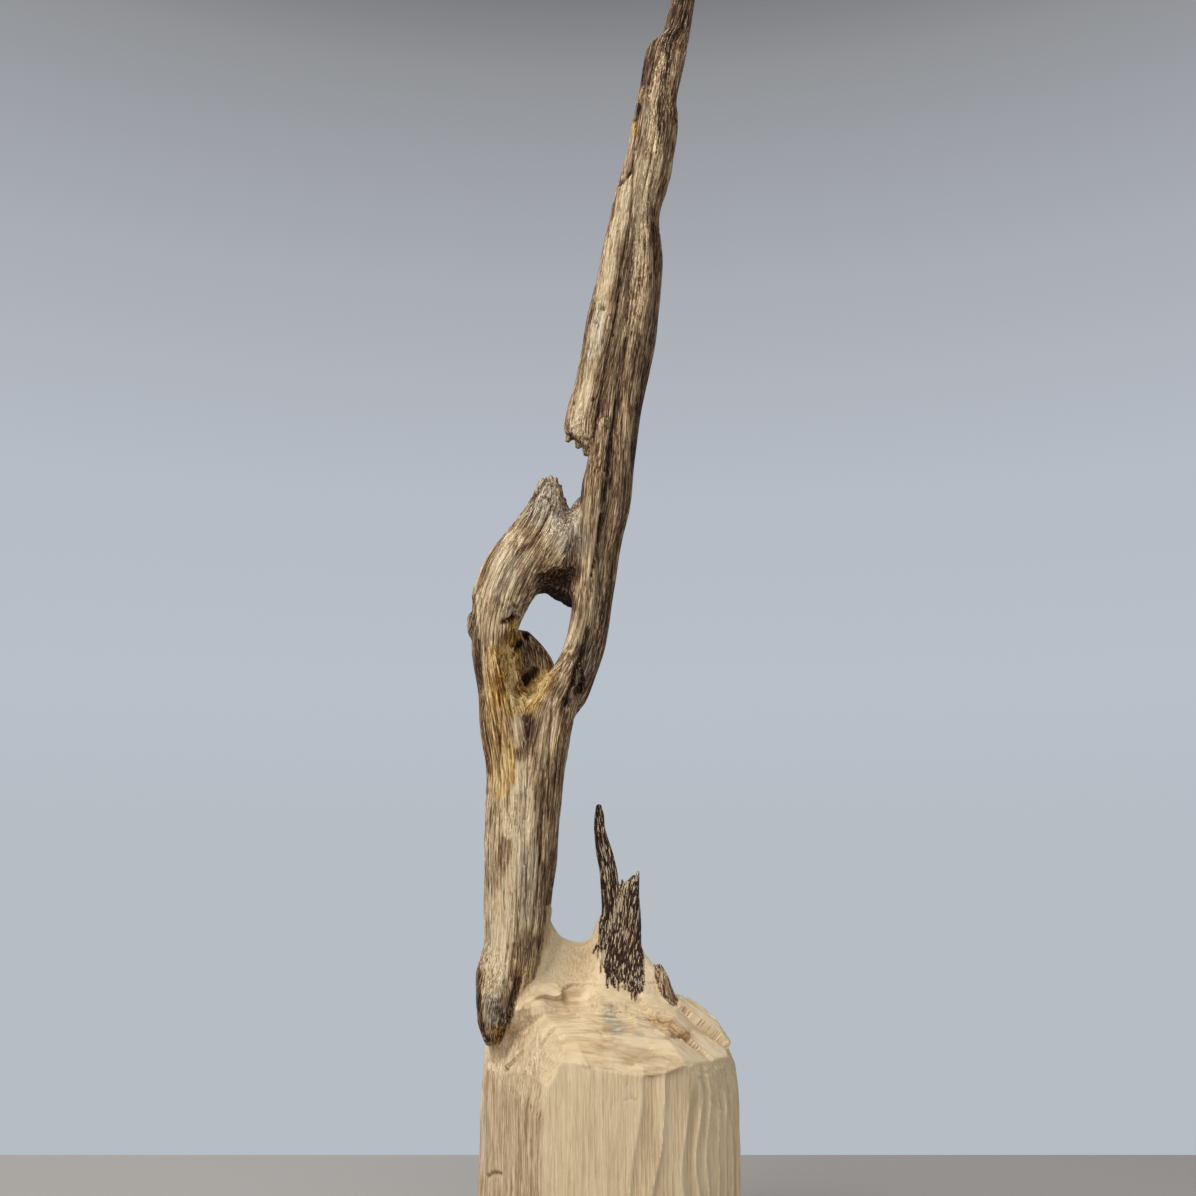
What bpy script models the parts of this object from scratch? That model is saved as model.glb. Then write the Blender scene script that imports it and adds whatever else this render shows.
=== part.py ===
# Agarwood piece: a knife-carved block of pale wood with a saddle-shaped web on its shoulder, and the
# weathered limbs that grow from it. The trunk forks into a hooked branch and a tall spire that touch again
# at a bridge, and two broken spikes stand on the web. It is one piece of wood, split at its main forks.
# Frame: Z up, X to the right, Y to the back, origin in the middle of the block's underside.

import math

import bmesh
import bpy
from mathutils import Vector, noise

# Driving dimensions, in millimetres
BLOCK_LEFT = -47.5
BLOCK_RIGHT = 50.0
BLOCK_FRONT = -44.0
BLOCK_BACK = 44.0
FRONT_EDGE_HEIGHT = 83.0
SHOULDER_HEIGHT = 99.5
TRUNK_CUT_HEIGHT = 100.0
FORK_HEIGHT = 226.0
TIP_HEIGHT = 553.0
GAP = 0.3

# Carved flutes around the block's front right corner
FLUTES = 12
FLUTE_DEPTH = 0.9
FLUTE_POINTS = 4
FLUTE_TOP = 6.0

# How finely the grown limbs are ruled, and how rough they are
LIMB_SIDES = 18
LIMB_STEP = 9.0
RIDGE = 0.07
LUMP = 1.2
LUMP_SIZE = 21.0
SECTION_SQUARENESS = 0.82
REGION_DEPTH = 90.0
REGION_SIDE = 75.0
REGION_TOP = 580.0

MM = 0.001

# Ribs of the limbs. A rib gives the left edge's x and z, the right edge's x and z, the middle's depth y
# and half of the thickness there.


def level(z, left, right, y, half_depth):
    return (left, z, right, z, y, half_depth)


LEFT_STRAND = [
    level(70, -43, -34, -2, 7),
    level(88, -46, -33, -3, 10),
    level(106, -48, -27, -4, 12),
    level(121, -47, -26, -4, 12.5),
    level(151, -47.5, -26, -4, 12),
    level(182, -47.5, -26, -3, 12),
    level(197, -49.5, -28, -3, 12),
    level(212, -51.5, -31.5, -2, 11.5),
    level(230, -54.3, -36, -1, 10.5),
    level(240, -54.5, -35.5, -1, 10),
    (-54.3, 254, -30.8, 252, -1, 9.5),
    (-51.2, 264, -27, 259, -1, 9.5),
    (-47, 273.5, -24, 265, -1, 9.5),
    (-40.5, 282.5, -20, 272, -1.5, 9),
    (-34.5, 289.5, -18, 280.5, -2, 8.5),
    (-30.5, 295.5, -17, 289.5, -2, 7.5),
    (-27.2, 302, -18.3, 298, -2, 5.5),
    (-25.5, 305.5, -20, 304.5, -2, 2.5),
]
BRIDGE = [
    (-31, 282, -29, 260, 0, 9),
    (-24, 287, -22, 260.5, 0, 10.5),
    (-17, 288.5, -17, 261.5, 1, 11),
    (-13.5, 293.5, -12.5, 262, 2, 10),
    (-9, 298, -9, 263, 2, 8),
    (-4, 296, -5, 266, 2, 6),
]
CAVITY_SHELL = [
    level(206, -42, -18, 6, 5),
    level(222, -43, -20, 7, 3.5),
    level(230, -42, -24, 7.5, 2.5),
    (-41, 237, -28.5, 235, 8, 2),
    (-39, 241, -33, 240, 8, 1.2),
]
STRAP = [
    level(76, -35, -29, -2, 6),
    level(92, -38, -27.5, -3, 9),
    level(106, -37, -26.5, -3, 11.5),
    level(121, -37, -23, -3, 12),
    level(145, -37, -20, -3, 12),
    level(174, -36, -18, -3, 11.5),
    level(197, -35, -15, -3, 11),
    level(209, -33, -12.5, -3, 11),
    level(218, -27, -10, -4, 10),
    level(227, -20, -8.5, -5, 8.5),
    level(239, -16, -5.5, -6, 7.5),
    level(254, -13, -4.5, -7, 6.5),
    level(271, -11, -3.5, -7, 6),
    level(296, -10.5, -0.5, -7, 6),
    level(308, -8.5, 1.5, -6.5, 5.5),
    level(320, -6, 2.5, -5.5, 4.5),
    level(336, -3, 1.5, -4, 2.5),
]
STRAND = [
    level(203, -19, -14, -1, 4),
    level(213, -18, -8, 0, 7),
    level(227, -13.5, -2.5, 1, 8),
    level(244, -10, 1.5, 2, 8.5),
    level(261, -8.5, 3, 2, 9),
    level(278, -7.5, 6, 2, 9.5),
    level(296, -6, 11, 2, 10),
    level(321, -6, 13.5, 2, 10.5),
    level(338, -6, 16, 2, 10.5),
    level(355, -4, 19, 2, 10.5),
    level(382, 0, 23, 2, 10.5),
    level(403, 2, 24.5, 2, 10.5),
    level(422, 3, 23, 2, 10),
    level(440, 6, 28, 1, 10),
    level(460, 10.5, 30.5, 1, 9.5),
    level(480, 14, 31.5, 1, 9),
    level(499, 17, 34.5, 1, 8.5),
    level(507.5, 19, 36, 1, 8),
    level(512, 25, 37, 1.5, 6.5),
    level(520, 27, 38.5, 1.5, 5.5),
    level(531, 30.5, 40.5, 2, 4.5),
    level(543, 33, 41.5, 2, 3),
    level(TIP_HEIGHT, 36.5, 38.5, 2, 1),
]
FLANGE = [
    (-11, 318, -7, 314.5, -4, 2.5),
    (-17, 323, -3, 317, -4, 4),
    (-16.8, 330, 0, 328, -4, 5),
    level(347, -13.6, 4, -4, 6),
    level(375, -8, 9, -4, 7),
    level(405, -1.8, 12, -4, 7.5),
    level(431, 3.7, 15, -4, 7),
    level(450, 8.3, 18, -4, 6.5),
    level(470, 12.2, 20, -4, 5.5),
    level(482, 14, 20, -3, 4),
]
BARK_TONGUE = [
    level(83, -44.5, -42, -13, 3),
    level(89, -47, -38.5, -13, 5),
    level(98, -48.5, -35, -12, 7),
    level(108, -49, -33, -9, 8),
    level(120, -46, -34, -5, 8),
]
CURVED_SPIKE = [
    level(94, -6, 4, 5, 5),
    level(116, -4, 4.5, 5, 5),
    level(128, -2.7, 4.6, 5, 4.5),
    level(140, -2.7, 5, 5.5, 4),
    level(147, -3, 3.9, 6, 3.6),
    level(154, -4.3, 2, 6, 3.2),
    level(161, -5.1, -0.2, 6, 2.8),
    level(167, -4.9, -0.9, 6, 2.2),
    level(171, -4.2, -2.2, 6, 1.2),
]
DARK_SPIKE = [
    level(90, -4, 14.5, 3, 8),
    level(103, -3, 14.3, 3, 7.5),
    level(114, -2, 13.6, 3, 6.5),
    level(124, 3.5, 13.2, 3, 5.5),
    level(135, 4.7, 12.9, 3, 4.5),
    level(140, 6.2, 12.3, 3, 3),
    level(143.5, 9.8, 11.9, 3, 1.2),
]
SIDE_SPLINTER = [
    level(86, 23, 27, -3, 3),
    level(93, 22, 26, -3, 3.5),
    level(100, 20.3, 25, -2, 3.5),
    level(106, 19.2, 23.4, -1, 3),
    level(110, 19, 21, 0, 1.4),
]

# Web between the trunk and the spikes: x, height of its rim, half thickness of its rim
WEB_FOOT_HEIGHT = 95.5
WEB_FOOT_HALF = 19.0
WEB_MIDDLE = 3.0
WEB_ROOT_HEIGHT = 84.0
WEB = [
    (-36, 124, 7),
    (-27, 132, 7.5),
    (-23, 131, 7.5),
    (-18, 120.5, 7),
    (-12, 118, 6.5),
    (-6.5, 119.5, 6.5),
    (-3, 127, 6),
    (3, 124, 6.5),
    (12, 117, 7),
    (18, 110, 6.5),
    (23, 105.5, 5),
    (27, 96.5, 3),
]

# Shoulder of the block: its height by depth y, and its right outline by x
SHOULDER_BY_DEPTH = [
    (BLOCK_FRONT, FRONT_EDGE_HEIGHT),
    (-34, 88.5),
    (-20, 93),
    (-5, 97.5),
    (12, SHOULDER_HEIGHT),
    (28, 93),
    (38, 82),
    (BLOCK_BACK, 70),
]
SHOULDER_BY_SIDE = [(24, SHOULDER_HEIGHT), (32, 96.5), (39, 90), (45, 81), (48.5, 72), (BLOCK_RIGHT, 62)]
WALL_SHARES = (0, 0.25, 0.5, 0.75, 0.92, 1)
SHOULDER_SCALES = (0.94, 0.85, 0.74, 0.6, 0.44, 0.26)

# Plan of the block: the rounded corners' centres and radii, and the sharp edge of its natural face
RIGHT_CENTRE = (10.0, 4.0)
BACK_LEFT_CENTRE = (-22.0, 8.0)
NATURAL_FACE_BACK = (BLOCK_LEFT, -5.0)
NATURAL_FACE_EDGE = (-23.5, -43.0)

# Each node keeps what lies inside its own outline, drawn in the front view as x and z
HALF_GAP = GAP / 2
WEB_END = -18.8
WEB_TOP_CUT = 131.0
SPIKE_SIDE = 4.75
BLOCK_REGION = [
    (-REGION_SIDE, -10),
    (REGION_SIDE, -10),
    (REGION_SIDE, 130),
    (16.3, 130),
    (16.3, 108 - HALF_GAP),
    (SPIKE_SIDE, 108 - HALF_GAP),
    (SPIKE_SIDE, 121 - HALF_GAP),
    (-8, 121 - HALF_GAP),
    (-8, WEB_TOP_CUT - HALF_GAP),
    (WEB_END + HALF_GAP, WEB_TOP_CUT - HALF_GAP),
    (WEB_END + HALF_GAP, TRUNK_CUT_HEIGHT - HALF_GAP),
    (-REGION_SIDE, TRUNK_CUT_HEIGHT - HALF_GAP),
]
TRUNK_REGION = [
    (-REGION_SIDE, TRUNK_CUT_HEIGHT + HALF_GAP),
    (WEB_END - HALF_GAP, TRUNK_CUT_HEIGHT + HALF_GAP),
    (WEB_END - HALF_GAP, WEB_TOP_CUT + HALF_GAP),
    (-10, WEB_TOP_CUT + HALF_GAP),
    (-12, 165),
    (12, 200),
    (12, FORK_HEIGHT - HALF_GAP),
    (-REGION_SIDE, FORK_HEIGHT - HALF_GAP),
]
# The line along which the hooked branch and the spire part, from the fork up past the bridge
FORK_LINE = [(-20.5, FORK_HEIGHT), (-15.5, 240), (-13, 262), (-11.5, 275), (-11, 302), (-31, 330)]
CURVED_SPIKE_REGION = [(-7.7, 121 + HALF_GAP), (4.5, 121 + HALF_GAP), (4.5, 149), (9, 180), (-9, 180)]
DARK_SPIKE_REGION = [(4.8, 108 + HALF_GAP), (16, 108 + HALF_GAP), (16, 150), (4.8, 150)]

# Colours of the wood, as red, green and blue in linear light
PALE_WOOD = (0.56, 0.44, 0.27, 1)
TRUNK_WOOD = (0.36, 0.26, 0.15, 1)
HOOK_WOOD = (0.29, 0.21, 0.13, 1)
SPIRE_WOOD = (0.22, 0.16, 0.1, 1)
DARK_WOOD = (0.12, 0.08, 0.05, 1)


def clear_scene():
    for obj in list(bpy.data.objects):
        bpy.data.objects.remove(obj, do_unlink=True)


def between(table, x):
    """The value of a table of (x, value) pairs at x, straight between its pairs."""
    if x <= table[0][0]:
        return table[0][1]
    for (x0, y0), (x1, y1) in zip(table, table[1:]):
        if x <= x1:
            return y0 + (y1 - y0) * (x - x0) / (x1 - x0)
    return table[-1][1]


def smooth_rows(rows, step):
    """Rows on a smooth curve through the given rows, about one step apart."""
    found = []
    for i in range(len(rows) - 1):
        before = rows[max(i - 1, 0)]
        start, end = rows[i], rows[i + 1]
        after = rows[min(i + 2, len(rows) - 1)]
        span = math.hypot(end[0] + end[2] - start[0] - start[2], end[1] + end[3] - start[1] - start[3]) / 2
        count = max(1, round(span / step))
        for k in range(count):
            t = k / count
            found.append(
                [
                    b + 0.5 * t * (c - a + t * (2 * a - 5 * b + 4 * c - d + t * (3 * (b - c) + d - a)))
                    for a, b, c, d in zip(before, start, end, after)
                ]
            )
    found.append(list(rows[-1]))
    return found


def rounded(value):
    return math.copysign(abs(value) ** SECTION_SQUARENESS, value)


def helper(name, bm):
    """Makes a hidden form, which the nodes are joined and cut with, from a mesh in millimetres."""
    bm.normal_update()
    bmesh.ops.triangulate(bm, faces=bm.faces)
    bmesh.ops.recalc_face_normals(bm, faces=bm.faces)
    bmesh.ops.scale(bm, vec=(MM, MM, MM), verts=bm.verts)
    mesh = bpy.data.meshes.new(name)
    bm.to_mesh(mesh)
    bm.free()
    obj = bpy.data.objects.new(name, mesh)
    bpy.context.scene.collection.objects.link(obj)
    obj.hide_render = True
    obj.display_type = "WIRE"
    return obj


def loft(bm, rings):
    """Joins rings of points into one closed skin, with flat ends."""
    rows = [[bm.verts.new(point) for point in ring] for ring in rings]
    for lower, upper in zip(rows, rows[1:]):
        for k in range(len(lower)):
            j = (k + 1) % len(lower)
            bm.faces.new((lower[k], lower[j], upper[j], upper[k]))
    bm.faces.new(rows[0])
    bm.faces.new(rows[-1])


def limb(name, ribs, sides=LIMB_SIDES, step=LIMB_STEP, turn=0.0):
    """A grown limb through its ribs, with ridges that run along it and lumps."""
    rings = []
    for number, (left_x, left_z, right_x, right_z, y, half_depth) in enumerate(smooth_rows(ribs, step)):
        middle = Vector(((left_x + right_x) / 2, y, (left_z + right_z) / 2))
        across = Vector(((right_x - left_x) / 2, 0, (right_z - left_z) / 2))
        deep = Vector((0, half_depth, 0))
        ring = []
        for k in range(sides):
            angle = math.tau * k / sides
            twist = 0.09 * number + turn
            ridge = 0.6 * math.cos(5 * angle + twist) + 0.4 * math.cos(8 * angle - 1.7 * twist)
            reach = 1 + RIDGE * ridge * math.sin(angle) ** 2
            out = rounded(math.cos(angle)) * across + rounded(math.sin(angle)) * deep
            point = middle + reach * out
            swell = LUMP * noise.noise(point / LUMP_SIZE) * min(1, half_depth / 5)
            ring.append(point + swell * out.normalized())
        rings.append(ring)
    bm = bmesh.new()
    loft(bm, rings)
    return helper(name, bm)


def ellipse(centre, radii, start, end, count):
    """Points along part of an ellipse, from one angle in degrees towards another, the last left out."""
    points = []
    for k in range(count):
        angle = math.radians(start + (end - start) * k / count)
        points.append((centre[0] + radii[0] * math.cos(angle), centre[1] + radii[1] * math.sin(angle)))
    return points


def straight(start, end, count):
    return [
        (start[0] + (end[0] - start[0]) * k / count, start[1] + (end[1] - start[1]) * k / count)
        for k in range(count)
    ]


def block_plan():
    """The block's plan and, beside each point, how deep the flutes cut there."""
    cx, cy = RIGHT_CENTRE
    bx, by = BACK_LEFT_CENTRE
    fluted = ellipse(RIGHT_CENTRE, (BLOCK_RIGHT - cx, cy - BLOCK_FRONT), -90, 0, FLUTES * FLUTE_POINTS)
    scoop = [FLUTE_DEPTH * math.sin(math.pi * k / FLUTE_POINTS) for k in range(FLUTE_POINTS)]
    plan = [(point, scoop[k % FLUTE_POINTS]) for k, point in enumerate(fluted)]
    plain = ellipse(RIGHT_CENTRE, (BLOCK_RIGHT - cx, BLOCK_BACK - cy), 0, 90, 11)
    plain += straight((cx, BLOCK_BACK), (bx, BLOCK_BACK), 4)
    plain += ellipse(BACK_LEFT_CENTRE, (bx - BLOCK_LEFT, BLOCK_BACK - by), 90, 180, 9)
    plain += straight((BLOCK_LEFT, by), NATURAL_FACE_BACK, 2)
    plain += straight(NATURAL_FACE_BACK, NATURAL_FACE_EDGE, 7)
    plain += straight(NATURAL_FACE_EDGE, (cx, BLOCK_FRONT), 5)
    return plan + [(point, 0.0) for point in plain]


def shoulder_height(x, y):
    """Height of the carved shoulder over a point of the plan."""
    by_depth = between(SHOULDER_BY_DEPTH, y)
    by_side = between(SHOULDER_BY_SIDE, x)
    return min(by_depth, by_side)


def block():
    """The carved block: fluted walls, then the faceted shoulder, ring by ring to its middle."""
    plan = block_plan()
    rings = []
    for share in WALL_SHARES:
        ring = []
        for (x, y), flute in plan:
            edge = shoulder_height(x, y)
            z = edge * share
            cut = flute if edge - z > FLUTE_TOP / 2 else 0.0
            inward = Vector((RIGHT_CENTRE[0] - x, RIGHT_CENTRE[1] - y, 0)).normalized()
            swell = LUMP * noise.noise(Vector((x, y, z)) / LUMP_SIZE)
            if z == 0:
                swell = 0.0
            ring.append(Vector((x, y, z)) + (cut + swell) * inward)
        rings.append(ring)
    for scale in SHOULDER_SCALES:
        ring = []
        for (x, y), _ in plan:
            sx, sy = x * scale, y * scale
            lift = LUMP * noise.noise(Vector((sx, sy, 50)) / LUMP_SIZE)
            ring.append(Vector((sx, sy, shoulder_height(sx, sy) + lift)))
        rings.append(ring)
    bm = bmesh.new()
    loft(bm, rings)
    return helper("form_block", bm)


def smooth_web():
    """The web's sections, with one between each two that are given."""
    rows = []
    for i in range(len(WEB) - 1):
        before = WEB[max(i - 1, 0)]
        start, end = WEB[i], WEB[i + 1]
        after = WEB[min(i + 2, len(WEB) - 1)]
        rows.append(start)
        rows.append([(9 * (b + c) - a - d) / 16 for a, b, c, d in zip(before, start, end, after)])
    rows.append(WEB[-1])
    return rows


def web():
    """The saddle between the trunk and the spikes: a rounded rim on a spreading foot."""
    rings = []
    for x, top, half in smooth_web():
        rise = top - WEB_FOOT_HEIGHT
        foot = max(half + 2, WEB_FOOT_HALF * (0.5 + 0.5 * rise / 25))
        side = [
            (foot, WEB_ROOT_HEIGHT),
            (foot, WEB_FOOT_HEIGHT),
            (half + 0.45 * (foot - half), WEB_FOOT_HEIGHT + 0.2 * rise),
            (half + 0.1 * (foot - half), WEB_FOOT_HEIGHT + 0.55 * rise),
            (half, top - 0.5 * half),
            (0.6 * half, top - 0.1 * half),
        ]
        front = [(WEB_MIDDLE - y, z) for y, z in side]
        back = [(WEB_MIDDLE + y, z) for y, z in reversed(side)]
        rings.append([Vector((x, y, z)) for y, z in front + back])
    bm = bmesh.new()
    loft(bm, rings)
    return helper("form_web", bm)


def prism(name, outline):
    """A cutting region: an outline in the front view, pushed through the whole depth."""
    bm = bmesh.new()
    face = bm.faces.new([bm.verts.new((x, -REGION_DEPTH, z)) for x, z in outline])
    pushed = bmesh.ops.extrude_face_region(bm, geom=[face])
    moved = [item for item in pushed["geom"] if isinstance(item, bmesh.types.BMVert)]
    bmesh.ops.translate(bm, vec=(0, 2 * REGION_DEPTH, 0), verts=moved)
    return helper(name, bm)


def hollow(name, centre, radii):
    """A rounded cutter, for a rotted or broken hollow."""
    bm = bmesh.new()
    bmesh.ops.create_icosphere(bm, subdivisions=2, radius=1)
    bmesh.ops.scale(bm, vec=radii, verts=bm.verts)
    bmesh.ops.translate(bm, vec=centre, verts=bm.verts)
    return helper(name, bm)


def node(name, colour, forms, region, hollows=()):
    """One named piece: its forms joined, hollowed, and cut to its own region."""
    obj = bpy.data.objects.new(name, forms[0].data.copy())
    bpy.context.scene.collection.objects.link(obj)
    steps = [(form, "UNION") for form in forms[1:]]
    steps += [(form, "DIFFERENCE") for form in hollows]
    steps.append((region, "INTERSECT"))
    for form, operation in steps:
        modifier = obj.modifiers.new(form.name, "BOOLEAN")
        modifier.solver = "EXACT"
        modifier.operation = operation
        modifier.object = form
    material = bpy.data.materials.new(name)
    material.use_nodes = True
    shader = material.node_tree.nodes["Principled BSDF"]
    shader.inputs["Base Color"].default_value = colour
    shader.inputs["Roughness"].default_value = 0.8
    shader.inputs["Metallic"].default_value = 0.0
    obj.data.materials.append(material)
    obj.data.shade_smooth()
    return obj


def build():
    clear_scene()
    left_strand = limb("form_left_strand", LEFT_STRAND)
    strap = limb("form_strap", STRAP, sides=16, turn=2.0)
    strand = limb("form_strand", STRAND, turn=4.0)
    flange = limb("form_flange", FLANGE, sides=14, turn=1.0)
    bridge = limb("form_bridge", BRIDGE, sides=16, step=5.0, turn=3.0)
    shell = limb("form_cavity_shell", CAVITY_SHELL, sides=12, turn=5.0)
    tongue = limb("form_bark_tongue", BARK_TONGUE, sides=12, turn=0.5)
    thin = limb("form_curved_spike", CURVED_SPIKE, sides=10, step=6.0, turn=1.5)
    broad = limb("form_dark_spike", DARK_SPIKE, sides=14, step=6.0, turn=2.5)
    splinter = limb("form_side_splinter", SIDE_SPLINTER, sides=8, step=5.0)
    crotch = hollow("hollow_crotch", (-34, -11, 231), (7.5, 9, 20))
    slot = hollow("hollow_under_strap", (-9.5, -9, 217), (2.5, 7, 9))
    knob = hollow("form_knob", (-53.8, -3, 242), (2.6, 4, 6))
    body = block()
    saddle = web()
    left_of_fork = [(x - HALF_GAP, z) for x, z in FORK_LINE[1:]]
    right_of_fork = [(x + HALF_GAP, z) for x, z in FORK_LINE[1:]]
    fork_x, fork_z = FORK_LINE[0]
    hook_region = [(-REGION_SIDE, fork_z + HALF_GAP), (fork_x - HALF_GAP, fork_z + HALF_GAP)] + left_of_fork
    hook_region.append((-REGION_SIDE, left_of_fork[-1][1]))
    spire_region = [(fork_x + HALF_GAP, fork_z + HALF_GAP)] + right_of_fork
    spire_region += [(right_of_fork[-1][0], REGION_TOP), (REGION_SIDE, REGION_TOP)]
    spire_region.append((REGION_SIDE, fork_z + HALF_GAP))

    block_forms = [body, left_strand, strap, saddle, tongue, thin, broad, splinter]
    node("carved_block", PALE_WOOD, block_forms, prism("region_block", BLOCK_REGION))
    trunk_forms = [left_strand, strap, saddle, tongue, shell, strand]
    node("trunk", TRUNK_WOOD, trunk_forms, prism("region_trunk", TRUNK_REGION), [crotch, slot])
    hook_forms = [left_strand, bridge, shell, knob]
    node("hook_branch", HOOK_WOOD, hook_forms, prism("region_hook", hook_region), [crotch])
    spire_forms = [strand, strap, flange, bridge]
    node("spire", SPIRE_WOOD, spire_forms, prism("region_spire", spire_region), [slot])
    thin_forms = [thin, saddle, broad]
    node("curved_spike", DARK_WOOD, thin_forms, prism("region_curved_spike", CURVED_SPIKE_REGION))
    broad_forms = [broad, saddle, thin]
    node("dark_spike", DARK_WOOD, broad_forms, prism("region_dark_spike", DARK_SPIKE_REGION))


build()
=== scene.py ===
import math

import bmesh
import bpy
import numpy as np
from mathutils import Matrix, Vector, kdtree, noise


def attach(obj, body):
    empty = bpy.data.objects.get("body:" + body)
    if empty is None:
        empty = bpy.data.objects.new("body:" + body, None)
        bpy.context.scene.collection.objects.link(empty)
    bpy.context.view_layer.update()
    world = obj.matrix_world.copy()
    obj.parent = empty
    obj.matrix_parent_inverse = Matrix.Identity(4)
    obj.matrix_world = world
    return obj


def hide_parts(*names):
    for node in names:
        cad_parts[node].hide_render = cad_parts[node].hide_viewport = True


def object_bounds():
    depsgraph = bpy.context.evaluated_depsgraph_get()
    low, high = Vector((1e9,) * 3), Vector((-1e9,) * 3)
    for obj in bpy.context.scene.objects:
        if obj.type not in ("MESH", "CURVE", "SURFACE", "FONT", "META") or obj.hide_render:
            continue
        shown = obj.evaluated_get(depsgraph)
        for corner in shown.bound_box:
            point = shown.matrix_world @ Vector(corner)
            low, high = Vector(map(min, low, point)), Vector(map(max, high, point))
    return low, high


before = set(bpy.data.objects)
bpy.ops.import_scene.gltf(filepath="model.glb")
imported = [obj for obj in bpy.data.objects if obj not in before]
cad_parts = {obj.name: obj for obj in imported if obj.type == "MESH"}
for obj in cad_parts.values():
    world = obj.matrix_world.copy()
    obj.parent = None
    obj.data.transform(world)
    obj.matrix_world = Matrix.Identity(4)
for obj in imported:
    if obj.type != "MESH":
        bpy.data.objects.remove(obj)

# A standing piece of agarwood: a knife-carved block of pale wood, and the weathered, resin-dark limbs
# that grow from it. Lengths here are millimetres until a mesh is finished. X is right, Y is back, Z is up.

mm = 0.001
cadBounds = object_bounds()
print("frame loaded")

photoCamera = {
    "pixels": 1196,
    "focalPixels": 1200,
    "place": (-3.5, -480.0, 157.0),
    "tiltDegrees": 11.4,
    "markPlane": -8.0,      # marks are measured where the camera's rays cross this upright plane
}
sculpt = {
    "voxel": 0.55,          # size of the skin's faces
    "blendVoxel": 1.2,      # size of the faces on which the limbs grow into each other
    "blendRounds": 8,       # smoothing that grows the limbs into each other
    "limbStep": 3.0,        # distance between the rings of a limb
    "squareness": 0.82,     # 1 is an oval section, 0 a square one
    "ridge": 0.07,          # flutes that run along a limb, as a share of its thickness
    "lump": 1.2,            # swellings of a limb
    "lumpSize": 21.0,
    "blockTriangles": 190000,
}


# A limb is a row of ribs, from its foot to its tip. A rib is one section: its left edge x and z, its right
# edge x and z, its middle's y, and half of its thickness. A rib whose edges are equally high is written as
# z, left x, right x, y and half thickness. A limb without grain of its own takes the fibres beneath it.

# the trunk's left strand, which bends over as the hook
leftStrand = {
    "sides": 44, "shade": 0.16, "turn": 0.0,
    "ribs": [
        (70, -43, -34, -2, 7), (88, -46, -33, -3, 10), (106, -48, -27, -4, 12), (121, -47, -26, -4, 12.5),
        (151, -47.5, -26, -4, 12), (182, -47.5, -26, -3, 12), (197, -49.5, -28, -3, 12),
        (212, -51.5, -31.5, -2, 11.5), (230, -54.3, -36, -1, 10.5), (240, -54.5, -35.5, -1, 10),
        (-54.3, 254, -30.8, 252, -1, 9.5), (-51.2, 264, -27, 259, -1, 9.5), (-47, 273.5, -24, 265, -1, 9.5),
        (-40.5, 282.5, -20, 272, -1.5, 9), (-34.5, 289.5, -18, 280.5, -2, 8.5),
        (-30.5, 295.5, -17, 289.5, -2, 7.5), (-27.2, 302, -18.3, 298, -2, 5.5), (-26.3, 303.5, -19, 301, -2, 4),
    ],
}
# from the hook back to the shaft; the fibres of the hook run on over it
bridge = {
    "sides": 36, "shade": 0.0, "turn": 3.0, "ownGrain": False,
    "ribs": [
        (-31, 282, -29, 260, 0, 9), (-24, 287, -22, 260.5, 0, 10.5), (-17, 288.5, -17, 261.5, 1, 11),
        (-13.5, 293.5, -12.5, 262, 2, 10), (-9, 298, -9, 263, 2, 8), (-4, 296, -5, 266, 2, 6),
    ],
}
# the ragged fringe under the bridge, darker partly in its own colour and partly as painted shade
curtain = {
    "sides": 30, "shade": -0.25, "turn": 0.0, "ownGrain": False,
    "ribs": [
        (-31, 266, -30.5, 259.5, 4, 4), (-28, 269, -27.5, 257.0, 4, 5), (-25, 270, -24.5, 257.3, 3, 5.5),
        (-22, 271, -21.5, 254.6, 3, 5.5), (-19.5, 271, -19, 253.2, 3, 5.5), (-17, 271, -16.5, 251.0, 3, 5.5),
        (-14, 271, -13.5, 249.8, 2, 5), (-11.5, 269, -11, 246.6, 1, 4.5), (-9, 266, -8.5, 247.5, 0, 4),
    ],
}
# the thin wall behind the rotten hollow of the crotch
cavityShell = {
    "sides": 28, "shade": -0.12, "turn": 5.0,
    "ribs": [
        (184, -38, -24, 2, 6), (206, -42, -18, 5, 6), (222, -43, -20, 7, 3.5), (230, -42, -22.8, 7.5, 2.5),
        (-41, 238.5, -27.3, 236.5, 8, 2), (-39, 242.5, -32, 241.5, 8, 1.2),
    ],
}
# the trunk's right strand, which runs up the front of the shaft
strap = {
    "sides": 40, "shade": 0.04, "turn": 2.0,
    "ribs": [
        (76, -35, -29, -2, 6), (92, -38, -27.5, -3, 9), (106, -37, -26.5, -3, 11.5), (121, -37, -23, -3, 12),
        (145, -37, -20, -3, 12), (174, -36, -18, -3, 11.5), (197, -35, -15, -3, 11), (209, -33, -12.5, -3, 11),
        (218, -27, -10, -4, 10), (227, -20, -8.5, -5, 8.5), (239, -16, -5.5, -6, 7.5),
        (254, -13, -4.5, -7, 6.5), (271, -11, -3.5, -7, 6), (296, -10.5, -0.5, -7, 6),
        (308, -8.5, 1.5, -6.5, 5.5), (320, -6, 2.5, -5.5, 4.5), (336, -3, 1.5, -4, 2.5),
    ],
}
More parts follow.
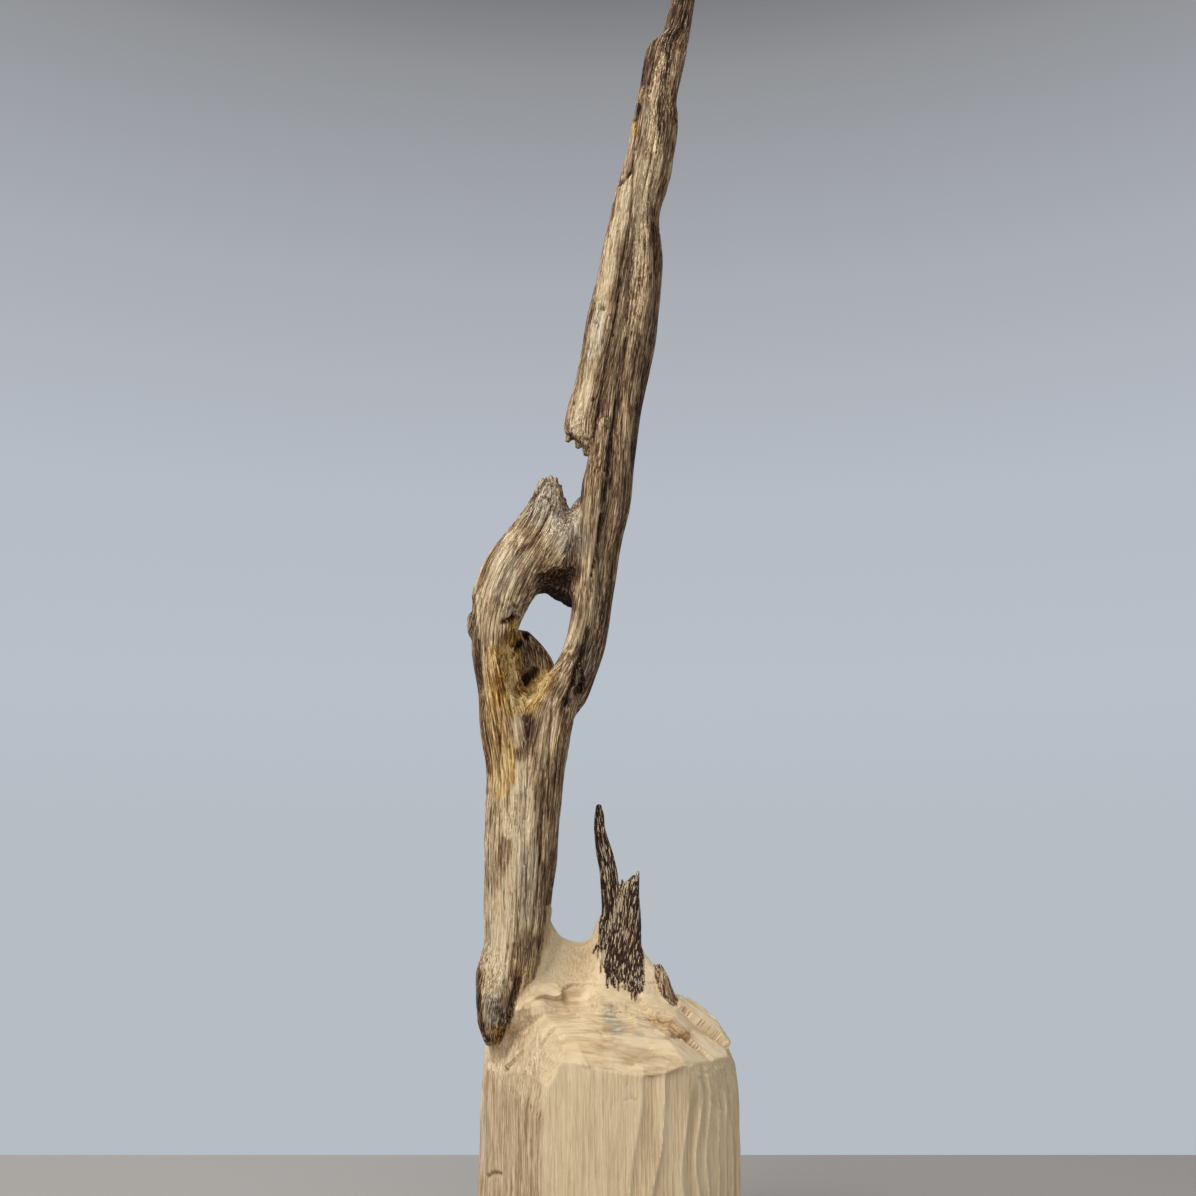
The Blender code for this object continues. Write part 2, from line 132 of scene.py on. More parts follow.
# the shaft
strand = {
    "sides": 44, "shade": -0.08, "turn": 4.0,
    "ribs": [
        (180, -22, -19.5, 1, 1.5), (203, -19, -14, 1, 2.6), (213, -18, -8, 1, 4.6), (227, -13.5, -2.5, 1, 7),
        (244, -10, 1.5, 2, 8.5), (261, -8.5, 3, 2, 9), (278, -7.5, 6, 2, 9.5), (296, -6, 11, 2, 10),
        (321, -6, 13.5, 2, 10.5), (338, -6, 16, 2, 10.5), (355, -4, 19, 2, 10.5), (382, 0, 23, 2, 10.5),
        (403, 2, 24.5, 2, 10.5), (422, 3, 23, 2, 10), (440, 6, 28, 1, 10), (460, 10.5, 30.5, 1, 9.5),
        (480, 14, 31.5, 1, 8.7), (499, 17, 34.5, 1, 7.8), (507.5, 19, 36, 1, 7.2), (512, 25, 37, 1.2, 6.9),
        (520, 27, 38.5, 1.5, 6.2), (531, 30.5, 40.5, 1.8, 5.2), (543, 33, 41.5, 2, 3.6),
        (553, 36.5, 38.5, 2, 1.2),
    ],
}
# the pale strip on the shaft's left, broken off at its foot
flange = {
    "sides": 36, "shade": 0.1, "turn": 1.0,
    "ribs": [
        (-11, 318, -7, 314.5, -4, 2.5), (-17, 323, -3, 317, -4, 4), (-16.8, 330, 0, 328, -4, 5),
        (347, -13.6, 4, -4, 6), (375, -8, 9, -4, 7), (405, -1.8, 12, -4, 7.5), (431, 3.7, 15, -4, 7),
        (450, 8.3, 18, -4, 6.5), (470, 12.2, 20, -4, 5.5), (482, 14, 20, -3, 4),
    ],
}
# the foot of the trunk, which overhangs the block
barkTongue = {
    "sides": 30, "shade": -0.04, "turn": 0.5, "ownGrain": False,
    "ribs": [
        (83, -44.5, -42, -13, 3), (89, -47, -38.5, -13, 5), (98, -48.5, -35, -12, 7), (108, -49, -33, -9, 8),
        (120, -46.5, -34, -6.5, 8), (134, -44, -35, -4, 7), (146, -41, -37, -3, 4),
    ],
}
# the thin spike on the web
curvedSpike = {
    "sides": 30, "shade": -0.2, "turn": 1.5,
    "ribs": [
        (94, -6, 4, 5, 5), (116, -4, 4.5, 5, 5), (128, -2.7, 4.6, 5, 4.5), (140, -2.7, 5, 5.5, 4),
        (147, -3, 3.9, 6, 3.6), (154, -4.3, 2, 6, 3.2), (161, -5.1, -0.2, 6, 2.8), (167, -4.9, -0.9, 6, 2.2),
        (171, -4.2, -2.2, 6, 1.2),
    ],
}
# the broad spike beside it
darkSpike = {
    "sides": 36, "shade": -0.2, "turn": 2.5,
    "ribs": [
        (90, -4, 14.5, 3, 8), (103, -3, 14.3, 3, 7.5), (114, -2, 13.6, 3, 6.5), (124, 3.5, 13.2, 3, 5.5),
        (135, 4.7, 12.9, 3, 4.5), (140, 6.2, 12.3, 3, 3), (143.5, 9.8, 11.9, 3, 1.2),
    ],
}
# at the web's right end
sideSplinter = {
    "sides": 20, "shade": 0.0, "turn": 0.0,
    "ribs": [
        (86, 23, 27, -3, 3), (93, 22, 26, -3, 3.5), (100, 20.3, 25, -2, 3.5), (106, 19.2, 23.4, -1, 3),
        (110, 19, 21, 0, 1.4),
    ],
}
limbs = [
    leftStrand, bridge, curtain, cavityShell, strap, strand, flange, barkTongue, curvedSpike, darkSpike,
    sideSplinter,
]
for limb in limbs:
    limb["ribs"] = [rib if len(rib) == 6 else (rib[1], rib[0], rib[2], rib[0], *rib[3:]) for rib in limb["ribs"]]

# torn ends: foot, tip and thickness of each splinter
splinters = [
    ((-25.0, -2, 297), (-25.6, -2, 304.4), 2.4), ((-23.0, -1, 298), (-23.2, -1, 305.6), 2.4),
    ((-21.0, -3, 297), (-20.8, -3, 304.4), 2.4), ((-19.4, -1, 295), (-18.9, -1, 301.6), 2.2),
    ((-16.0, 0, 286), (-17.6, 0, 296.5), 2.0), ((27.0, 1, 503), (24.4, 1, 513.0), 1.6),
    ((30.0, 1, 506), (27.3, 1, 517.5), 1.8), ((34.0, 2, 530), (35.6, 2, 547.0), 1.6),
    ((-14.5, -4, 323), (-16.4, -4, 319.0), 2.6), ((-11.0, -4, 321), (-12.2, -4, 316.2), 2.6),
    ((-8.2, -4, 321), (-8.8, -4, 313.2), 2.4), ((11.0, 3, 134), (12.3, 3, 145.2), 1.6),
    ((6.5, 3, 132), (6.0, 3, 142.0), 1.4), ((-23.4, -3, 124.0), (-21.3, -3.5, 131.5), 1.2),
    ((-24.0, -3, 128.0), (-21.8, -3.5, 136.0), 1.1),
]

# rotted or broken hollows: middle and radii
hollows = [
    ((-34, -11, 231), (7.5, 9, 20)),
    ((-9.8, -9, 217), (1.5, 5.5, 7.5)),
    ((-20.0, -13, 261.5), (8.0, 8, 3.6)),
]
knob = ((-53.8, -3, 242), (2.6, 4, 6))

carvedBlock = {
    "height": 101.0,
    "left": -47.5,
    "right": 50.0,
    "front": -44.0,
    "back": 44.0,
    "middle": (10.0, 4.0),                  # of the rounded right side
    "naturalFace": ((-35.5, -24.0, 0), (-0.8425, -0.5387, 0)),
    "sides": 96,
    "leftPowers": (0.5, 0.35),              # how square the left side is, across and through
    # knife cuts on the front of the shoulder: a point of each, and the way it faces
    "frontCuts": [
        ((-6, -44, 80.2), (0.10, -0.71, 0.69)),
        ((-12, -36.5, 87.6), (-0.03, -0.40, 0.92)),
        ((-8, -26, 92.1), (-0.02, -0.24, 0.97)),
        ((0, -5, 97.4), (0.00, -0.12, 0.993)),
        ((15, -38, 86.4), (0.12, -0.82, 0.57)),
        ((20, -25, 91.4), (0.12, -0.28, 0.95)),
        ((23.2, -35.7, 85.1), (0.589, -0.343, 0.732)),
    ],
    # knife cuts around the right side and the back: distance inside the block's outline, height, steepness
    "roundCuts": [(22.0, 98.0, 20), (14.5, 93.4, 43), (8.0, 85.6, 57), (3.2, 76.6, 69), (0.8, 67.0, 80)],
    "roundFrom": -34,
    "roundTo": 216,
    "roundCount": 11,
}
flutes = {
    # angle of each ridge around the block's right middle, from the front round to the back, in degrees
    "ridges": [-96.5, -88, -78.3, -66.9, -59.4, -53.2, -45.5, -39.5, -31, -23, -14, -6, 3, 12, 22, 31, 42, 52,
               63, 73, 84, 95, 106, 117, 128, 139, 148, 157, 166, 175, 184, 191],
    "tops": [79, 82, 81.5, 74, 81, 72, 75, 68, 67, 64, 66, 63, 65, 62, 66, 64, 67, 63, 66, 68, 66, 69, 66, 68,
             66, 69, 65, 70, 67, 71, 69],
    "depths": [0.5, 1.1, 1.3, 1.3, 1.0, 1.1, 0.9, 1.2, 1.0, 1.2, 1.0, 1.1, 1.2, 1.0, 1.1, 1.2, 1.0, 1.1, 1.0,
               1.2, 0.9, 1.0, 0.8, 0.7, 0.8, 1.0, 0.8, 1.0, 0.7, 0.9, 0.5],
    "drift": 7.0,           # how far a ridge wanders to the left towards the foot, in degrees
    "skew": (0.6, 1.7),     # the flute is deepest left or right of its middle
    "fade": (3, 12),        # how slowly it runs out at the top
    "tone": (-0.09, 0.19),  # how much lighter or darker it is
    "glint": 0.5,           # painted highlight on the ridge beside it
    "glintHalf": 0.45,
}
knifeCuts = {
    "count": 48,
    "from": (-36, -46),     # x and y of the shoulder
    "to": (52, 46),
    "tilt": 0.12,
    "tone": 0.42,
    "seam": 0.35,           # half width of the line between two cuts
    "seamTone": 0.4,
    "shade": 0.4,           # the shoulder is this much darker than the flutes
    "stretch": (0.5, 1.0),  # cuts are longer from left to right
}
web = {
    "root": 84.0,
    "footHeight": 95.5,
    "footHalf": 19.0,
    "middle": 3.0,
    "sides": 64,
    # x, height of the rim, half thickness of the rim
    "rim": [
        (-36, 124, 7), (-27, 130, 4.5), (-23.4, 129, 3.2), (-21.2, 124.5, 4.6), (-18, 120.3, 6.2),
        (-12, 118, 6.5), (-6.5, 119.5, 6.5), (-3, 127, 6), (3, 124, 6.5), (12, 117, 7), (18, 110, 6.5),
        (23, 105.5, 5), (27, 96.5, 3),
    ],
}


def smoothRows(rows, step):
    # rows on a smooth curve through the given rows, about one step apart
    found = []
    for i in range(len(rows) - 1):
        before = rows[max(i - 1, 0)]
        start, end = rows[i], rows[i + 1]
        after = rows[min(i + 2, len(rows) - 1)]
        if len(start) == 6:
            span = math.hypot(end[0] + end[2] - start[0] - start[2], end[1] + end[3] - start[1] - start[3]) / 2
        else:
            span = math.hypot(end[0] - start[0], end[1] - start[1])
        count = max(1, round(span / step))
        for k in range(count):
            t = k / count
            found.append([
                b + 0.5 * t * (c - a + t * (2 * a - 5 * b + 4 * c - d + t * (3 * (b - c) + d - a)))
                for a, b, c, d in zip(before, start, end, after)
            ])
    found.append(list(rows[-1]))
    return found


def squared(value):
    return math.copysign(abs(value) ** sculpt["squareness"], value)


def growRings(bm, sides, rows, placeVert):
    # a closed tube: a ring of points pulled from row to row, with flat ends
    angleOf = bm.verts.layers.float.get("angle") or bm.verts.layers.float.new("angle")
    ring = bmesh.ops.create_circle(bm, cap_ends=True, segments=sides, radius=1)["verts"]
    for vert in ring:
        vert[angleOf] = math.atan2(vert.co.y, vert.co.x)
    edges = [edge for edge in bm.edges if edge.verts[0] in ring and edge.verts[1] in ring]
    for number, row in enumerate(rows):
        if number:
            grown = bmesh.ops.extrude_edge_only(bm, edges=edges)["geom"]
            ring = [item for item in grown if isinstance(item, bmesh.types.BMVert)]
            fresh = set(ring)
            edges = [item for item in grown if isinstance(item, bmesh.types.BMEdge)]
            edges = [edge for edge in edges if edge.verts[0] in fresh and edge.verts[1] in fresh]
        for vert in ring:
            vert.co = placeVert(number, row, vert[angleOf])
    bmesh.ops.edgeloop_fill(bm, edges=edges)


def growLimb(bm, limb):
    def place(number, rib, angle):
        leftX, leftZ, rightX, rightZ, y, halfDepth = rib
        middle = Vector(((leftX + rightX) / 2, y, (leftZ + rightZ) / 2))
        across = Vector(((rightX - leftX) / 2, 0, (rightZ - leftZ) / 2))
        twist = 0.03 * number + limb["turn"]
        ridge = 0.6 * math.cos(5 * angle + twist) + 0.4 * math.cos(8 * angle - 1.7 * twist)
        reach = 1 + sculpt["ridge"] * ridge * math.sin(angle) ** 2
        out = squared(math.cos(angle)) * across + squared(math.sin(angle)) * Vector((0, halfDepth, 0))
        point = middle + reach * out
        swell = sculpt["lump"] * noise.noise(point / sculpt["lumpSize"]) * min(1, halfDepth / 5)
        return point + swell * out.normalized()

    growRings(bm, limb["sides"], smoothRows(limb["ribs"], sculpt["limbStep"]), place)


def growWeb(bm):
    def place(number, section, angle):
        x, top, half = section
        rise = top - web["footHeight"]
        foot = max(half + 2, web["footHalf"] * (0.5 + 0.5 * rise / 25))
        share = (1 + math.sin(angle)) / 2
        low = (web["footHeight"] - web["root"]) / (top - web["root"])
        width = half + (foot - half) * max(0, 1 - max(share - low, 0) / (1 - low)) ** 2.4
        out = math.copysign(abs(math.cos(angle)) ** 0.45, math.cos(angle)) * width
        return Vector((x, web["middle"] + out, web["root"] + share * (top - web["root"])))

    growRings(bm, web["sides"], smoothRows(web["rim"], 2.0), place)


def addBall(bm, middle, radii, detail=4, rough=0.0):
    ball = bmesh.ops.create_icosphere(bm, subdivisions=detail, radius=1)["verts"]
    for vert in ball:
        wave = 1 + rough * noise.noise(vert.co * 2.3 + Vector(middle)) + 0.4 * rough * noise.noise(vert.co * 6)
        vert.co = Vector(middle) + Vector([a * b for a, b in zip(radii, vert.co)]) * wave


def addSplinter(bm, foot, tip, thickness):
    foot, tip = Vector(foot), Vector(tip)
    turn = (tip - foot).to_track_quat("Z", "Y").to_matrix().to_4x4()
    place = Matrix.Translation((foot + tip) / 2) @ turn
    bmesh.ops.create_cone(bm, cap_ends=True, segments=9, radius1=thickness, radius2=0.4 * thickness,
                          depth=(tip - foot).length, matrix=place)


def knifeCut(bm, point, facing):
    everything = bm.verts[:] + bm.edges[:] + bm.faces[:]
    cut = bmesh.ops.bisect_plane(bm, geom=everything, plane_co=point, plane_no=facing, clear_outer=True)
    rim = [item for item in cut["geom_cut"] if isinstance(item, bmesh.types.BMEdge)]
    if rim:
        bmesh.ops.contextual_create(bm, geom=rim)


def carveBlock(bm, rng):
    block = carvedBlock
    cx, cy = block["middle"]
    made = bmesh.ops.create_circle(bm, cap_ends=True, segments=block["sides"], radius=1)
    for vert in made["verts"]:
        angle = math.atan2(vert.co.y, vert.co.x)
        side, deep = math.cos(angle), math.sin(angle)
        width = cx - block["left"] if side < 0 else block["right"] - cx
        reach = cy - block["front"] if deep < 0 else block["back"] - cy
        if side < 0:
            side, deep = [math.copysign(abs(v) ** p, v) for v, p in zip((side, deep), block["leftPowers"])]
        vert.co = (cx + width * side, cy + reach * deep, 0)
    raised = bmesh.ops.extrude_face_region(bm, geom=bm.faces[:])
    moved = [item for item in raised["geom"] if isinstance(item, bmesh.types.BMVert)]
    bmesh.ops.translate(bm, vec=(0, 0, block["height"]), verts=moved)
    bmesh.ops.recalc_face_normals(bm, faces=bm.faces)
    knifeCut(bm, *block["naturalFace"])
    outline = [vert.co.copy() for vert in bm.verts if vert.co.z < 1]
    for point, facing in block["frontCuts"]:
        knifeCut(bm, point, facing)
    turnRange = block["roundTo"] - block["roundFrom"]
    for step in range(block["roundCount"]):
        for inside, height, steepness in block["roundCuts"]:
            turned = block["roundFrom"] + turnRange * step / (block["roundCount"] - 1)
            turned = math.radians(turned + rng.uniform(-5, 5))
            steep = math.radians(steepness + rng.uniform(-4, 4))
            out = Vector((math.cos(turned), math.sin(turned), 0))
            reach = max(point.dot(out) for point in outline) - inside
            facing = out * math.sin(steep) + Vector((0, 0, math.cos(steep)))
            knifeCut(bm, out * reach + Vector((0, 0, height + rng.uniform(-0.8, 0.8))), facing)


def makeMesh(name, bm):
    bmesh.ops.recalc_face_normals(bm, faces=bm.faces)
    mesh = bpy.data.meshes.new(name)
    bm.to_mesh(mesh)
    bm.free()
    return mesh


def makeObject(name, mesh):
    obj = bpy.data.objects.new(name, mesh)
    bpy.context.scene.collection.objects.link(obj)
    return obj


def applyModifiers(obj):
    bpy.context.view_layer.update()
    mesh = bpy.data.meshes.new_from_object(obj.evaluated_get(bpy.context.evaluated_depsgraph_get()))
    obj.modifiers.clear()
    old = obj.data
    obj.data = mesh
    bpy.data.meshes.remove(old)


def remesh(obj, voxel, rounds=0):
    modifier = obj.modifiers.new("skin", "REMESH")
    modifier.mode = "VOXEL"
    modifier.voxel_size = voxel
    if rounds:
        smooth = obj.modifiers.new("grow together", "SMOOTH")
        smooth.factor = 0.5
        smooth.iterations = rounds
    applyModifiers(obj)


def boolean(obj, tool, operation):
    modifier = obj.modifiers.new("cut", "BOOLEAN")
    modifier.solver = "MANIFOLD"
    modifier.operation = operation
    modifier.object = tool
    applyModifiers(obj)


# The form: the limbs and the web grow into each other, and the block keeps its knife edges
rng = np.random.default_rng(11)
grown = bmesh.new()
for limb in limbs:
    growLimb(grown, limb)
growWeb(grown)
addBall(grown, *knob)
grownMesh = makeMesh("grown", grown)
soft = makeObject("soft", grownMesh.copy())
remesh(soft, sculpt["blendVoxel"], sculpt["blendRounds"])
print("limbs grown together:", len(soft.data.polygons), "faces")

form = bmesh.new()
form.from_mesh(grownMesh)
for splinter in splinters:
    addSplinter(form, *splinter)
form.from_mesh(soft.data)
blockForm = bmesh.new()
carveBlock(blockForm, rng)
form.from_mesh(makeMesh("block", blockForm))
formMesh = bpy.data.meshes.new("form")
form.to_mesh(formMesh)
form.free()
wood = makeObject("wood", formMesh)
bpy.data.objects.remove(soft)
remesh(wood, sculpt["voxel"])
print("one skin:", len(wood.data.polygons), "faces")
for middle, radii in hollows:
    bm = bmesh.new()
    addBall(bm, middle, radii, detail=5, rough=0.35)
    tool = makeObject("hollow", makeMesh("hollow", bm))
    boolean(wood, tool, "DIFFERENCE")
    bpy.data.objects.remove(tool)
print("hollows cut:", len(wood.data.polygons), "faces")


# From here the wood is worked as arrays of points, in millimetres
def readVectors(mesh, field):
    found = np.empty(len(mesh.vertices) * 3)
    mesh.vertices.foreach_get(field, found)
    return found.reshape(-1, 3)


def waves(points, size, seed):
    # smooth noise between about -1 and 1; size is how large its lumps are along each axis
    spot = points / np.array(size) + np.array((3.7, 9.1, 5.3)) * seed
    cell = np.floor(spot).astype(np.int64)
    part = spot - cell
    ease = part * part * part * (part * (part * 6 - 15) + 10)
    total = np.zeros(len(points))
    for corner in range(8):
        step = np.array((corner & 1, corner >> 1 & 1, corner >> 2 & 1))
        mixed = (cell + step) @ np.array((374761393, 668265263, 974634777)) + seed * 1442695
        mixed = (mixed ^ (mixed >> 13)) * 1274126177 & 0xFFFFFFFF
        mixed = (mixed ^ (mixed >> 16)) * 2246822519 & 0xFFFFFFFF
        lean = [((mixed >> shift & 1023) / 511.5 - 1) for shift in (2, 12, 22)]
        weight = np.prod(np.where(step, ease, 1 - ease), axis=1)
        total += weight * sum(lean[axis] * (part[:, axis] - step[axis]) for axis in range(3))
    return total * 1.6


def severalWaves(points, size, seed, count):
    return np.stack([waves(points, size, seed + axis) for axis in range(count)], axis=1)


def layered(points, layers, seed):
    # relief of several sizes: each layer is a strength and the size of its lumps
    return sum(strength * waves(points, size, seed + number) for number, (strength, size) in enumerate(layers))


def smoothStep(low, high, value):
    t = np.clip((value - low) / (high - low), 0, 1)
    return t * t * (3 - 2 * t)


def distanceToLine(points, line):
    # the line's points are given one after another, without brackets
    line = np.reshape(line, (-1, points.shape[1])).astype(float)
    best = np.full(len(points), 1e9)
    if len(line) == 1:
        return np.linalg.norm(points - line[0], axis=1)
    for start, end in zip(line, line[1:]):
        along = end - start
        share = np.clip((points - start) @ along / (along @ along), 0, 1)
        best = np.minimum(best, np.linalg.norm(points - start - share[:, None] * along, axis=1))
    return best


def insideOutline(x, z, outline):
    inside = np.zeros(len(x), bool)
    for (x0, z0), (x1, z1) in zip(outline, outline[1:] + outline[:1]):
        crosses = (z0 > z) != (z1 > z)
        if z0 != z1:
            inside ^= crosses & (x < (x1 - x0) * (z - z0) / (z1 - z0) + x0)
    return inside


# where the weathered skin of the trunk ends and the knife's cuts begin, as z and x in the front view
barkEdge = [
    (82, -44), (83, -39.5), (87, -37.3), (91.5, -36), (97, -34), (102.5, -31), (106, -27.4), (110, -25.6),
    (115.5, -24.6), (123, -23.6), (132.5, -23),
]
barkFoot, barkTop = 81.5, barkEdge[-1][0]
tornGrain = [6, -17, 96, 17, -19, 93.5]     # the line where a knife tore the wood, as x, y and z
# the right edge of the fibrous wood on the block's left, as z and x on the mark plane
fibrousEdge = [
    (29.7, -24.3), (71.4, -24.7), (81.6, -22.9), (90.2, -26.7), (98, -30.6), (105.2, -33.3), (108.9, -51.8),
]
# the resin-dark wood of the two spikes, as x and z on the mark plane
resinOutline = [
    (-5.8, 113.2), (-3.9, 119.1), (-2.7, 125.3), (-2.7, 132.7), (-5, 142), (-6.6, 176), (13.6, 176),
    (13.4, 149.5), (12.9, 136.4), (13.2, 123.5), (14.2, 103.4), (12.3, 102.7), (10.4, 100.9),
    (8.9, 102), (6.3, 104.2), (4.4, 103.4), (2.2, 106), (0.6, 104.9), (-2.7, 107.8),
    (-2.4, 113.2), (-3.5, 115.4),
]
